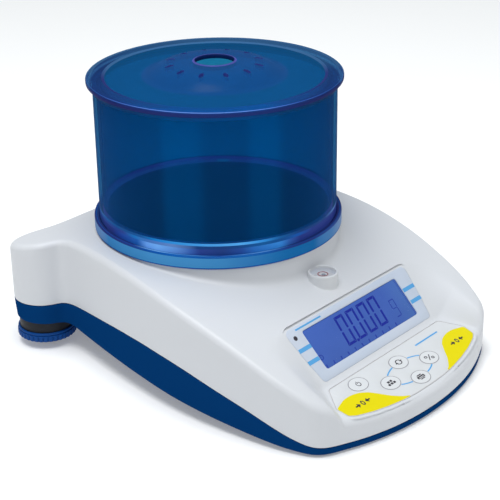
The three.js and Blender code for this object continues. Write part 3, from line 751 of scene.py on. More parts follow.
# ------------------------------------------------------------------ opaque materials
# key, name, colour, roughness, tone variation, grain height mm, texture scale, specular
for row in (
        ("case", "case_white_plastic", srgb(209, 211, 215), 0.42, 0.014, 0.008, 1, 0.35),
        ("tray", "tray_blue_plastic", (0.0020, 0.040, 0.155, 1), 0.55, 0.06, 0.008, 1, 0.0),
        ("foot", "foot_blue_plastic", (0.0035, 0.060, 0.26, 1), 0.42, 0.06, 0.006, 1, 0.1),
        ("black", "collar_black_plastic", srgb(30, 33, 40), 0.5, 0.1, 0.006, 1, 0.2),
        ("boss", "level_white_plastic", srgb(214, 216, 219), 0.36, 0.012, 0.004, 1, 0.35),
        ("inner_white", "level_inner_white", srgb(208, 206, 204), 0.45, 0.02, 0.004, 1, 0.3),
        ("bubble", "level_bubble_grey", srgb(150, 156, 160), 0.2, 0.04, 0.002, 1, 0.5),
        ("overlay", "overlay_print_white", srgb(209, 211, 213), 0.4, 0.012, 0.003, 1.4, 0.35),
        ("yellow", "overlay_print_yellow", (0.74, 0.64, 0.004, 1), 0.46, 0.03, 0.003, 1.4, 0.08),
        ("key", "key_print_white", srgb(213, 215, 217), 0.36, 0.012, 0.003, 1.4, 0.35),
        ("outline", "print_grey", srgb(142, 140, 146), 0.4, 0.03, 0.002, 1, 0.5),
        ("line", "print_taupe", srgb(180, 176, 176), 0.4, 0.03, 0.002, 1, 0.5),
        ("skyblue", "print_sky_blue", srgb(84, 160, 216), 0.4, 0.03, 0.002, 1, 0.3),
        ("ink", "print_ink", srgb(42, 36, 48), 0.42, 0.05, 0.002, 1, 0.5),
        ("red", "level_red_ring", srgb(150, 74, 78), 0.4, 0.03, 0.002, 1, 0.5),
        ("rubber", "rubber_black", srgb(28, 28, 30), 0.82, 0.1, 0.02, 0.6, 0.5),
        ("cable", "cable_sheath", srgb(120, 124, 130), 0.55, 0.05, 0.006, 1, 0.5),
        ("pcb", "circuit_board_green", srgb(24, 96, 56), 0.42, 0.08, 0.004, 1, 0.5),
        ("battery", "battery_sleeve", srgb(40, 74, 150), 0.3, 0.05, 0.003, 1, 0.5),
        ("diffuser", "backlight_diffuser", srgb(222, 232, 246), 0.5, 0.02, 0.002, 1, 0.5)):
    plastic(*row)
metal("steel", "zinc_plated_steel", (0.60, 0.61, 0.62, 1), rough=0.3)
metal("alu", "machined_aluminium", (0.68, 0.69, 0.70, 1), rough=0.38, brushed=(1, 12, 1))
metal("brass", "turned_brass", (0.72, 0.54, 0.24, 1), rough=0.3)
plastic("socket", "socket_black", srgb(26, 26, 28), rough=0.45, vary=0.08, grain=0.004,
        scale=1, spec=0.5)


def pan_material():
    """Steel with fine rings round the pan axis."""
    m = Mat("pan", "pan_brushed_steel")
    x, y = m.from_axis()
    combine = m.new("CombineXYZ")
    m.link(m.math("SQRT", m.add(m.times(x, x), m.times(y, y))), combine.inputs[0])
    brush = m.noise(scale=5200, detail=3, rough=0.6, vector=combine.outputs[0])
    slow = m.noise(scale=40, detail=3)
    m.set(color=m.mix(slow, (0.56, 0.57, 0.58, 1), (0.66, 0.67, 0.68, 1)), metal=1.0,
          rough=m.spread(brush, 0.24, 0.4), aniso=0.4,
          normal=m.bump(brush, strength=0.25, distance=0.00001))


pan_material()

# ------------------------------------------------------------------ clear blue materials
# shield blue, with bright bands of painted reflection and darker bands of painted shade round the
# tube
BLUE = rgba((0.005, 0.185, 0.60))
REFLECTION_BAND_BLUE = rgba((0.001, 0.30, 0.92))
SHADE_BAND_BLUE = rgba((0.008, 0.165, 0.53))
clear("shield", "shield_blue_clear", tint=(0.11, 0.445, 0.61), body=BLUE[:3], share=0.10,
      edge_tint=(0.09, 0.28, 0.44), edge_body=(0.025, 0.055, 0.14), edge_share=0.65,
      gloss=0.03, rough=0.05, stops=[     # position round the tube, colour; the bright bands are painted reflections, the darker ones painted shade
          (0.0, BLUE), (0.36, SHADE_BAND_BLUE), (0.425, SHADE_BAND_BLUE), (0.437, REFLECTION_BAND_BLUE), (0.475, REFLECTION_BAND_BLUE),
          (0.487, BLUE), (0.535, BLUE), (0.545, REFLECTION_BAND_BLUE), (0.575, REFLECTION_BAND_BLUE), (0.588, SHADE_BAND_BLUE),
          (0.65, SHADE_BAND_BLUE), (1.0, BLUE)])
clear("lid", "lid_blue_clear", tint=(0.11, 0.43, 0.58), body=(0.010, 0.150, 0.40), share=0.30,
      gloss=0.02, rough=0.14)
clear("dome", "lid_dome_clear", tint=(0.11, 0.39, 0.55), body=(0.011, 0.105, 0.35), share=0.42,
      gloss=0.10, rough=0.2)
# painted light by azimuth: the bright blue front band is a painted highlight, the lighter back and
# sides painted light seen through the rim
clear("lidrim", "lid_rim_clear", tint=(0.26, 0.55, 0.78), body=(0.01, 0.1, 0.4), share=0.6,
      gloss=0.05, rough=0.1, stops=around(
          (-180, 52, 98, 140), (-130, 36, 80, 126), (-100, 28, 58, 114), (-45, 29, 67, 128),
          (-28, 27, 74, 138), (-20, 19, 80, 152), (10, 15, 83, 156), (22, 14, 84, 158),
          (34, 28, 72, 136), (60, 28, 63, 124), (90, 32, 66, 120), (104, 44, 90, 136),
          (180, 54, 100, 142), gain=0.85))
# painted light by azimuth: the bright blue front band is a painted highlight, the lighter back and
# sides painted light seen through the flange
clear("flange", "lid_flange_clear", tint=(0.25, 0.50, 0.68), body=(0.01, 0.1, 0.4), share=0.55,
      gloss=0.05, rough=0.1, stops=around(
          (-180, 60, 104, 150), (-110, 56, 98, 138), (-96, 54, 95, 136), (-86, 34, 64, 116),
          (-70, 28, 56, 112), (-45, 24, 60, 124), (-25, 18, 76, 150), (20, 14, 80, 152),
          (40, 24, 60, 124), (76, 28, 58, 114), (90, 36, 66, 118), (99, 54, 95, 136),
          (180, 60, 104, 150), gain=1.1))
# dark colour of the edge seen on edge, painted lighter by azimuth at the back and sides as light
# seen through it
clear("dark", "clear_edge_dark", tint=(0.12, 0.20, 0.45), body=(0.014, 0.018, 0.13), share=0.86,
      gloss=0.12, rough=0.1, stops=around(
          (-180, 58, 100, 142), (-104, 52, 92, 134), (-84, 34, 46, 106), (-50, 30, 38, 99),
          (-20, 33, 48, 112), (20, 31, 52, 118), (50, 30, 40, 102), (86, 34, 48, 108),
          (104, 52, 92, 134), (180, 58, 100, 142)))
# painted highlight along the lid's top edge, brightest towards the camera
clear("edge_light", "lid_edge_painted_highlight", tint=(0.3, 0.5, 0.8), body=(0.1, 0.2, 0.6), share=0.9,
      gloss=0.1, rough=0.1, stops=around(
          (-180, 66, 113, 159), (-100, 55, 95, 137), (-60, 28, 60, 122), (-42, 70, 104, 180),
          (-20, 108, 142, 216), (0, 112, 146, 220), (20, 96, 130, 210), (38, 50, 84, 160),
          (60, 28, 60, 122), (100, 55, 95, 137), (180, 66, 113, 159)))
# painted light by azimuth round the skirt: bluest towards the camera, painted lighter at the back
clear("skirt", "lid_skirt_clear", tint=(0.16, 0.36, 0.62), body=(0.003, 0.07, 0.25), share=0.8,
      gloss=0.06, rough=0.08, stops=around(
          (-180, 56, 98, 140), (-100, 46, 84, 128), (-70, 22, 62, 108), (-40, 15, 66, 120),
          (-22, 8, 78, 138), (14, 8, 82, 148), (30, 12, 70, 122), (60, 12, 58, 104),
          (90, 30, 62, 110), (104, 50, 92, 136), (180, 56, 98, 140)))
# painted highlight line along the skirt's lower edge, brightest towards the camera
clear("skirt_line", "lid_skirt_painted_highlight", tint=(0.2, 0.4, 0.7), body=(0.01, 0.15, 0.5), share=0.88,
      gloss=0.08, rough=0.08, stops=around(
          (-180, 60, 104, 146), (-60, 20, 70, 130), (-35, 30, 96, 170), (-10, 52, 122, 196),
          (12, 40, 116, 190), (34, 24, 84, 150), (60, 18, 64, 118), (180, 60, 104, 146)))
clear("hole_wall", "lid_hole_wall", tint=(0.12, 0.2, 0.4), body=(0.008, 0.022, 0.12),
      share=0.85, gloss=0.1, rough=0.12)
clear("vent_wall", "lid_vent_wall", tint=(0.3, 0.35, 0.7), body=(0.10, 0.10, 0.42), share=0.6,
      gloss=0.15, rough=0.12)
# painted reflections and shade by azimuth on the ring's outer face: light blue and lavender streaks
clear("ring", "ring_blue_clear", tint=(0.25, 0.50, 0.72), body=(0.06, 0.3, 0.63), share=0.86,
      gloss=0.12, rough=0.08, stops=around(
          (-180, 60, 118, 190), (-110, 70, 120, 188), (-85, 123, 154, 201),
          (-64, 94, 142, 200), (-59, 57, 134, 198), (-42, 65, 145, 206), (-30, 73, 153, 212),
          (-10, 73, 153, 212), (0, 68, 148, 208), (10, 58, 136, 200), (20, 42, 125, 193),
          (30, 18, 114, 183), (47, 14, 111, 180), (51, 62, 129, 194), (62, 84, 140, 199),
          (72, 124, 158, 206), (84, 150, 172, 210), (110, 70, 120, 188), (180, 60, 118, 190)))
# painted highlight streaks by azimuth on the ring's top, dark between them; glow is painted light
clear("top_outer", "ring_top_outer", tint=(0.12, 0.2, 0.5), body=(0.014, 0.03, 0.15), share=0.9,
      gloss=0.12, rough=0.1, glow=0.18, stops=around(
          (-180, 40, 60, 122), (-100, 40, 58, 112), (-60, 33, 46, 110), (-42, 33, 56, 124),
          (-34, 18, 74, 148), (-20, 16, 90, 167), (-6, 10, 80, 155), (10, 18, 90, 164),
          (22, 22, 86, 158), (31, 33, 58, 126), (44, 33, 50, 116), (60, 46, 76, 142),
          (78, 56, 78, 138), (96, 32, 52, 110), (180, 40, 60, 122)))
clear("top_inner", "ring_top_inner", tint=(0.12, 0.2, 0.5), body=(0.014, 0.03, 0.15), share=0.9,
      gloss=0.12, rough=0.1, glow=0.18, stops=around(
          (-180, 34, 58, 118), (-100, 28, 58, 110), (-60, 32, 42, 104), (-42, 34, 52, 120),
          (-34, 92, 148, 206), (-28, 98, 155, 210), (-19, 60, 122, 188), (-8, 50, 112, 180),
          (0, 31, 66, 144), (9, 52, 112, 180), (20, 82, 140, 200), (27, 60, 112, 176),
          (34, 34, 54, 114), (42, 31, 40, 101), (86, 31, 40, 101), (104, 34, 60, 112),
          (180, 34, 58, 118)))
# lighter blue in the ring's groove: a painted highlight line
clear("line_blue", "ring_groove_painted_highlight", tint=(0.2, 0.5, 0.8), body=(0.012, 0.10, 0.40), share=0.8,
      gloss=0.1, rough=0.08)
clear("line_deep", "ring_lower_edge", tint=(0.2, 0.4, 0.7), body=(0.008, 0.085, 0.38),
      share=0.9, gloss=0.1, rough=0.08)
# bands at the foot of the tube: painted highlight streaks and painted shade by azimuth; glow is
# painted light
clear("foot_a", "shield_foot_low", tint=(0.12, 0.3, 0.55), body=(0.014, 0.03, 0.15), share=0.88,
      gloss=0.08, rough=0.08, glow=0.62, stops=around(
          (-180, 40, 64, 124), (-100, 34, 60, 112), (-60, 32, 43, 104), (-52, 26, 56, 130),
          (-40, 24, 78, 150), (-35, 88, 138, 204), (-29, 96, 150, 210), (-19, 78, 122, 184),
          (-13, 48, 84, 152), (-9, 34, 54, 118), (2, 27, 51, 107), (10, 31, 64, 130),
          (16, 36, 94, 164), (29, 46, 118, 186), (34, 40, 78, 146), (40, 34, 48, 113),
          (80, 32, 44, 105), (104, 34, 62, 116), (180, 40, 64, 124)))
clear("foot_b", "shield_foot_mid", tint=(0.12, 0.3, 0.55), body=(0.01, 0.04, 0.15), share=0.86,
      gloss=0.08, rough=0.08, glow=0.62, stops=around(
          (-180, 36, 70, 128), (-100, 20, 64, 116), (-72, 26, 60, 123), (-50, 33, 54, 120),
          (-42, 20, 98, 164), (-33, 60, 100, 160), (-22, 84, 118, 170), (-14, 62, 92, 142),
          (-10, 22, 56, 109), (2, 22, 52, 104), (12, 20, 65, 120), (20, 20, 78, 131),
          (30, 19, 66, 122), (39, 18, 74, 148), (48, 34, 50, 114), (80, 32, 46, 108),
          (104, 22, 64, 116), (180, 36, 70, 128)))
clear("foot_c", "shield_foot_line", tint=(0.12, 0.4, 0.62), body=(0.01, 0.1, 0.3), share=0.84,
      gloss=0.1, rough=0.08, glow=0.62, stops=around(
          (-180, 24, 84, 140), (-90, 34, 76, 124), (-72, 16, 76, 138), (-50, 16, 64, 116),
          (-38, 18, 72, 128), (-30, 16, 108, 178), (-19, 46, 130, 195), (0, 66, 141, 202),
          (10, 74, 152, 212), (20, 44, 126, 194), (29, 16, 78, 134), (40, 20, 52, 102),
          (60, 22, 54, 104), (72, 70, 104, 158), (90, 50, 90, 134), (180, 24, 84, 140)))
# inside of the tube's foot: colours painted by azimuth towards the camera, with glow as painted
# light
VIOLET, NAVY, GREY_BLUE = (0.40, 0.13, 0.34, 1), (0.02, 0.07, 0.2, 1), (0.2, 0.30, 0.42, 1)
MAGENTA, DEEP_NAVY = (0.66, 0.05, 0.30, 1), (0.01, 0.06, 0.18, 1)
clear("foot_in", "shield_foot_inner", tint=(0.3, 0.3, 0.6), body=(0.36, 0.12, 0.30), share=0.9,
      gloss=0.05, rough=0.1, glow=0.9, stops=turn_stops([
          (-180, VIOLET), (-88, VIOLET), (-60, NAVY), (60, NAVY), (88, VIOLET), (173, VIOLET),
          (174, GREY_BLUE), (180, GREY_BLUE)]))
clear("foot_in_top", "shield_foot_inner_top", tint=(0.3, 0.2, 0.6), body=(0.55, 0.055, 0.27),
      share=0.9, gloss=0.05, rough=0.1, glow=0.9, stops=turn_stops([
          (-180, MAGENTA), (-88, MAGENTA), (-60, DEEP_NAVY), (60, DEEP_NAVY), (88, MAGENTA),
          (180, MAGENTA)]))


# ------------------------------------------------------------------ display materials
def lcd_material():
    """Backlit blue, a little lighter round x = 36 mm in the frame."""
    m = Mat("lcd", "lcd_backlit_blue")
    slow = m.noise(scale=60, detail=2)
    fine = m.noise(scale=4200, detail=2)
    from_glow = m.math("ABSOLUTE", m.add(m.xyz()[0], -0.036))
    glow = m.spread(from_glow, 1.0, 0.0, source=(0.0, 0.012))
    color = m.mix(m.spread(slow, 0, 1), srgb(67, 95, 166), srgb(71, 100, 172))
    color = m.mix(m.times(glow, 0.5), color, srgb(83, 119, 175))
    color = m.mix(m.spread(fine, 0, 0.08, source=(0.35, 0.65)), color, srgb(90, 118, 196))
    m.set(color=color, rough=m.spread(fine, 0.4, 0.46), spec=0.02, emit=color,
          emit_strength=0.05, normal=m.bump(fine, strength=0.05, distance=0.000004))


def bezel_material():
    m = Mat("bezel", "bezel_print")
    slow = m.noise(scale=30, detail=2)
    fine = m.noise(scale=3000, detail=2)
    color = m.mix(m.spread(slow, 0, 1, source=(0.35, 0.65)), srgb(186, 197, 214),
                  srgb(194, 202, 216))
    color = m.mix(m.spread(fine, 0, 0.15), color, srgb(204, 211, 222))
    m.set(color=color, rough=m.spread(fine, 0.36, 0.42), spec=0.2,
          normal=m.bump(fine, strength=0.06, distance=0.000004))


def pane_material():
    m = Mat("pane", "window_clear", principled=False)
    glossy = m.new("BsdfGlossy")
    glossy.inputs["Roughness"].default_value = 0.3
    transparent = m.new("BsdfTransparent")
    transparent.inputs["Color"].default_value = (0.97, 0.98, 1, 1)
    ripple = m.noise(scale=700, detail=2)
    m.link(m.bump(ripple, strength=0.1, distance=0.000006), glossy.inputs["Normal"])
    m.gloss_over(transparent.outputs[0], glossy.outputs[0], ior=1.45, amount=0.08)


lcd_material()
SEGMENT_LOOK = dict(rough=0.45, vary=0.03, grain=0.001, scale=1, spec=0.05)
plastic("digit", "lcd_segment_blue", srgb(36, 48, 148), **SEGMENT_LOOK)
plastic("digit_faint", "lcd_segment_faint", srgb(48, 68, 158), **SEGMENT_LOOK)
bezel_material()
pane_material()


# ------------------------------------------------------------------ outlines
def case_outline():
    """Smooth symmetric outline of 760 points, anticlockwise from the front centre."""
    whole = OUTLINE + [(-x, y) for x, y in OUTLINE[-2:0:-1]]
    loop = resample(catmull(whole, 30), 1520)
    loop = np.stack([smooth(loop[:, k], 1.6, 0.5, mode="wrap") for k in range(2)], 1)
    loop = resample(loop, 760)
    return 0.5 * (loop + np.roll((loop * [-1, 1])[::-1], 1, axis=0))


CASE = case_outline()


def window_loop(grow):
    """Display bezel on the display face, grown by a distance."""
    g = grow
    corners = [[46 + g, -16.45 - g], [49.1 + g, 0.0], [51 + g, 14.95 + g], [-51 - g, 14.95 + g],
               [-49.1 - g, 0.0], [-46 - g, -16.45 - g]]
    radii = [2.2 + g, 40, 3.2 + g, 3.2 + g, 40, 2.2 + g]
    return resample(round_poly(corners, radii, 12), 200)


def lcd_loop(grow):
    g = grow
    corners = [[39.0 + g, -11.4 - g], [39.4 + g, 11.15 + g], [-40.0 - g, 11.15 + g],
               [-39.6 - g, -11.4 - g]]
    return resample(round_poly(corners, 1.3 + g, 6), 200)


def sheet_loop(grow):
    """Keypad sheet on the keypad face."""
    whole = SHEET_HALF + [(-x, y, r) for x, y, r in SHEET_HALF[-1:0:-1]]
    corners = [(x, KEYPAD.up(y)) for x, y, _ in whole]
    return offset(resample(round_poly(corners, [r for *_, r in whole], 8), 260), -grow)


def tare_loop(side, grow):
    """Tare key on the keypad face, side +1 on the right; the loop runs clockwise."""
    corners = [(x, KEYPAD.up(y)) for x, y, _ in TARE_KEY]
    loop = resample(round_poly(corners, [r for *_, r in TARE_KEY], 8), 150)
    loop = offset(loop, grow)
    loop[:, 0] *= side
    return loop if side > 0 else loop[::-1]


# ------------------------------------------------------------------ upper case
RECESS_GAP = 0.08       # between a recess wall and the plate in it
SEAT_ROOT_R = SEAT_R + SEAT_FILLET


def upper_wall(shell):
    """Outer wall from the lip at the seam to the rounded top edge; returns its last loop."""
    lip = offset(CASE, LIP)
    seam_z = parting(CASE[:, 1]) + SEAM
    low, high = seam_z + 0.35, top_z(CASE[:, 0], CASE[:, 1]) - EDGE_R
    rows = [lift(lip, parting(lip[:, 1]) + SEAM), lift(offset(CASE, 0.35), seam_z),
            lift(offset(CASE, 0.1), seam_z + 0.1), lift(CASE, low)]
    for t in np.linspace(0, 1, 9)[1:]:
        rows.append(lift(CASE, low * (1 - t) + high * t))
    for a in np.linspace(0, PI / 2, 10)[1:]:
        q = offset(CASE, EDGE_R * (1 - math.cos(a)))
        rows.append(lift(q, top_z(q[:, 0], q[:, 1]) - EDGE_R * (1 - math.sin(a))))
    shell.strips(rows)
    return rows[-1][:, :2]


def shield_seat(shell):
    """Round seat from its root fillet to the centre hole; returns its root circle."""
    n = 300
    wall = circle(SEAT_R, n)
    deck_z = top_z(wall[:, 0], wall[:, 1])
    rise = np.maximum(SEAT_TOP - deck_z, 0.3)
    radii_sum = SEAT_FILLET + SEAT_ROUND
    fillet_z = np.minimum(SEAT_FILLET, rise * SEAT_FILLET / radii_sum)
    round_z = np.minimum(SEAT_ROUND, rise / radii_sum)
    rows = []
    for a in np.linspace(0, PI / 2, 10):
        q = circle(SEAT_ROOT_R - SEAT_FILLET * math.sin(a), n)
        rows.append(lift(q, top_z(q[:, 0], q[:, 1]) + fillet_z * (1 - math.cos(a))))
    low, high = deck_z + fillet_z, SEAT_TOP - round_z
    for t in (0.33, 0.66, 1.0):
        rows.append(lift(wall, low * (1 - t) + high * t))
    for a in np.linspace(0, PI / 2, 6)[1:]:
        q = circle(SEAT_R - SEAT_ROUND * (1 - math.cos(a)), n)
        rows.append(lift(q, high + round_z * math.sin(a)))
    # r, z
    rows += rings([(60.5, SEAT_TOP), (60.0, 66.8), (59.8, 66.3), (59.8, 65.6), (59.5, 65.3),
                   (30, 65.2), (17.6, 65.2), (16.8, 65.4), (16.4, 66.0), (16.0, 66.6),
                   (15.4, 66.9), (12.9, 66.9), (12.4, 66.7), (12.1, 66.2), (12.0, 60.0)], n)
    shell.strips(rows)
    return circle(SEAT_ROOT_R, n)


def recess_mouth(slope, loop, depth, clearance):
    """Plan of a recess mouth, its edge on the case surface and the loop just below it."""
    plan = slope.place(loop, 0)[:, :2]
    z = top_z(plan[:, 0], plan[:, 1])
    below = slope.place(loop, depth)
    below[:, 2] = np.minimum(below[:, 2], z - clearance)
    return plan, [lift(plan, z), below]


def window_recess(shell):
    loop, lcd = start_right(window_loop(RECESS_GAP)), start_right(lcd_loop(1.0))
    plan, rows = recess_mouth(DISPLAY, loop, -0.35, 0.05)
    rows += [DISPLAY.place(loop, -1.5), DISPLAY.place(start_right(window_loop(-1.5)), -1.55),
             DISPLAY.place(lcd, -1.6), DISPLAY.place(lcd, -7.0)]
    shell.strips(rows, flip=True)
    return plan


def keypad_recess(shell):
    """Recess with a floor that has openings for the keys."""
    floor = -0.8
    loop = start_right(sheet_loop(RECESS_GAP))
    plan, rows = recess_mouth(KEYPAD, loop, -0.3, 0.02)
    shell.strips(rows + [KEYPAD.place(loop, floor)], flip=True)
    holes = [oval_pts(5.3, 40, c) for c in KEYS.values()]
    holes += [ring_pts(4.2, 32, (s * 41, KEYPAD.up(-128.6))) for s in (-1, 1)]
    pts, tri = fill(loop, holes)
    shell.add(KEYPAD.place(pts, floor), tri)
    for hole in holes:
        shell.strips([KEYPAD.place(hole, floor), KEYPAD.place(hole, -3.0)], flip=True)
    return plan


def deck_points(edge, seat, window, keypad):
    """Inner mesh points of the deck, closer together across the bay shoulders."""
    g = grid(np.arange(-86, 86.1, 2.6), np.arange(-146, 90, 2.6))
    g[:, 0] += (np.arange(len(g)) % 2) * 0.9
    g = g[(g[:, 1] > -80) | (np.abs(g[:, 0]) > 69.5)]
    shoulder = []
    for y in np.r_[np.arange(-145.5, -114, 0.9), np.arange(-114, -109, 0.45),
                   np.arange(-109, -80, 0.9)]:
        floor_x, rim_x = bay_floor_x(y), bay_rim_x(y)
        for t in (-0.7, -0.5, -0.35, -0.22, -0.1, 0.0, 0.1, 0.22, 0.34, 0.48, 0.62, 0.74,
                  0.84, 0.92, 1.0, 1.08, 1.18, 1.3, 1.45):
            x = floor_x + t * (rim_x - floor_x)
            if abs(x) < 70.5:
                shoulder += [[x, y], [-x, y]]
        shoulder += [[x, y] for x in np.arange(-48, 48.1, 3.0)]
    g = np.vstack([g, np.array(shoulder)])
    g = g[inside(edge, g)]
    g = g[~inside(seat, g)]
    g = g[np.hypot(g[:, 0], g[:, 1]) > SEAT_ROOT_R + 0.8]
    g = g[~inside(window, g) & ~inside(keypad, g)]
    for loop, distance in ((edge, 0.7), (window, 0.5), (keypad, 0.45)):
        g = away(g, loop, distance)
    for outside in (1.2, 2.6):
        ring = circle(SEAT_ROOT_R + outside, 300)
        ring = away(ring[inside(edge, ring)], edge, 0.8)
        ring = ring[~inside(window, ring)]
        g = np.vstack([away(g, ring, 0.8), ring])
    return g


def upper_case():
    shell = Builder()
    edge = upper_wall(shell)
    seat = shield_seat(shell)
    window = window_recess(shell)
    keypad = keypad_recess(shell)
    pts, tri = fill(edge, [seat, window, keypad], deck_points(edge, seat, window, keypad))
    shell.add(lift(pts, top_z(pts[:, 0], pts[:, 1])), tri)
    ob = build("upper_case_shell", shell, "case", weld=6e-6, sharp=50, slot="case_white",
               replaces="upper_case")
    solidify(ob, 1.9)


upper_case()

# ------------------------------------------------------------------ lower case
WALL = 3.2                          # inner face of the tray wall
FLOOR = 2.4                         # floor thickness
SCREW_R, STUD_R = 1.9, 5.5          # holes for the case screws and the levelling feet
SCREW_TOP, STUD_TOP = 9, 30.0       # screw bosses above the underside, foot bosses in z
WELL_Z, WELL_FLOOR_Z = 20.3, 22.6   # roof of the foot recess and the floor above it


def foot_distance(xy):
    """Plan distance to the nearer levelling foot."""
    return np.hypot(np.abs(xy[:, 0]) - FOOT_X, xy[:, 1] - FOOT_Y)


def tray_floor_z(xy):
    """Inner floor, higher over the round recess of each levelling foot."""
    limit = parting(xy[:, 1]) - 0.7
    plain = np.minimum(bottom(xy[:, 1]) + FLOOR, limit)
    return np.where(foot_distance(xy) < 17.8, np.minimum(WELL_FLOOR_Z, limit), plain)


def tray_outside(tray, lip_loop):
    """Outer wall, underside and the recesses in it; returns the underside's mesh points."""
    seam_z = parting(CASE[:, 1]) - SEAM
    under_z = bottom(CASE[:, 1])
    # the tray leans in towards its lower edge, most at the rear lobes
    lean = 0.25 + 0.5 * np.clip((CASE[:, 1] - 44) / 16, 0, 1)
    edge_r = 0.45
    low = under_z + edge_r
    high = np.maximum(seam_z - 0.3, low + 0.3)
    rows = [lip_loop, lift(offset(CASE, 0.3), seam_z), lift(offset(CASE, 0.08), seam_z - 0.1),
            lift(CASE, seam_z - 0.3)]
    for t in np.linspace(0, 1, 7)[1:]:
        rows.append(lift(offset(CASE, lean * t), high * (1 - t) + low * t))
    for a in np.linspace(0, PI / 2, 6)[1:]:
        rows.append(lift(offset(CASE, lean + edge_r * (1 - math.cos(a))),
                         low - edge_r * math.sin(a)))
    tray.strips(rows, flip=True)
    edge = rows[-1][:, :2]

    holes = []
    for c in CASE_SCREWS:
        head, shank = ring_pts(3.5, 32, c), ring_pts(SCREW_R, 32, c)
        z = bottom(head[:, 1])
        tray.strips([lift(head, z), lift(head, z + 4.0), lift(shank, z + 4.0),
                     lift(shank, z + SCREW_TOP)], flip=True)
        holes.append(head)
    for side in (-1, 1):
        c = (side * FOOT_X, FOOT_Y)
        well, stud = ring_pts(15.35, 96, c), ring_pts(STUD_R, 96, c)
        tray.strips([lift(well, bottom(well[:, 1])), lift(well, WELL_Z), lift(stud, WELL_Z),
                     lift(stud, STUD_TOP)], flip=True)
        pad, pad_z = ring_pts(6.4, 40, (side * PAD_X, PAD_Y)), 2.5
        tray.strips([lift(pad, bottom(pad[:, 1])), lift(pad, pad_z)], flip=True)
        pts, tri = fill(pad)
        tray.add(lift(pts, pad_z), tri[:, ::-1])
        holes += [well, pad]
    g = grid(np.arange(-84, 84.1, 5.0), np.arange(-144, 88, 4.0))
    g = away(g[inside(edge, g)], edge, 1.5)
    for hole in holes:
        g = away(g[~inside(hole, g)], hole, 1.2)
    pts, tri = fill(edge, holes, g)
    tray.add(lift(pts, bottom(pts[:, 1])), tri[:, ::-1])
    return g


def tray_inside(tray, lip_loop, g):
    """Upstand of the rim, inner floor and the bosses on it."""
    wall = offset(CASE, WALL)
    tray.strips([lip_loop, lift(wall, parting(wall[:, 1]) - 0.6),
                 lift(wall, tray_floor_z(wall))])
    bosses = []
    for c in CASE_SCREWS:
        hole, boss = ring_pts(SCREW_R, 32, c), ring_pts(4.6, 32, c)
        z = bottom(hole[:, 1]) + SCREW_TOP
        tray.strips([lift(hole, z), lift(boss, z), lift(boss, bottom(boss[:, 1]) + FLOOR)])
        bosses.append(boss)
    for side in (-1, 1):
        c = (side * FOOT_X, FOOT_Y)
        hole, boss = ring_pts(STUD_R, 96, c), ring_pts(8.0, 96, c)
        tray.strips([lift(hole, STUD_TOP), lift(boss, STUD_TOP), lift(boss, WELL_FLOOR_Z)])
        bosses.append(boss)
    limit = offset(wall, 1.0)
    g = g[inside(limit, g)]
    g = g[foot_distance(g) > 18.5]
    for side in (-1, 1):
        ring = ring_pts(17.0, 60, (side * FOOT_X, FOOT_Y))
        g = np.vstack([g, ring[inside(limit, ring)]])
    pts, tri = fill(wall, bosses, away(g, wall, 1.5))
    tray.add(lift(pts, tray_floor_z(pts)), tri)


def lower_case():
    tray = Builder()
    lip = offset(CASE, LIP)
    lip_loop = lift(lip, parting(lip[:, 1]) - SEAM)
    tray_inside(tray, lip_loop, tray_outside(tray, lip_loop))
    build("lower_case_tray", tray, "tray", weld=6e-6, sharp=45, slot="tray_blue",
          replaces="lower_case")


lower_case()

# ------------------------------------------------------------------ display
SLANT = 0.085       # sideways lean of the digits per unit of height
DIGIT_W, DIGIT_H, DIGIT_PITCH = 6.75, 16.45, 9.17
DIGIT_X, DIGIT_Y = -17.4, -7.35     # lower left of the first digit
STROKE = 1.42
MITRE_GAP, WAIST_GAP = 0.17, 0.34   # gaps at the corners and, each way, at the waist


def zero_digit(x, y):
    """Six mitred bars of a seven-segment nought."""
    w, h, t, g = DIGIT_W, DIGIT_H, STROKE, MITRE_GAP
    below, above, top = h / 2 - WAIST_GAP, h / 2 + WAIST_GAP, h - g
    bars = [[(g, h), (w - g, h), (w - t - g, h - t), (t + g, h - t)],
            [(g, 0), (w - g, 0), (w - t - g, t), (t + g, t)]]
    uprights = [[(0, g), (0, below - 0.3), (t * 0.5, below), (t, below - 0.3), (t, g + t),
                 (t * 0.5, g + t * 0.5)],
                [(0, above + 0.3), (0, top), (t * 0.5, top - t * 0.5), (t, top - t),
                 (t, above + 0.3), (t * 0.5, above)]]
    bars += uprights + [[(w - a, b) for a, b in p] for p in uprights]
    return [np.array([(a + (x + b * SLANT), b + y) for a, b in p], float) for p in bars]


def slanted_bar(u0, v0, u1, v1, width):
    base = 7.4
    return bar(u0 + (v0 + base) * SLANT, v0, u1 + (v1 + base) * SLANT, v1, width)


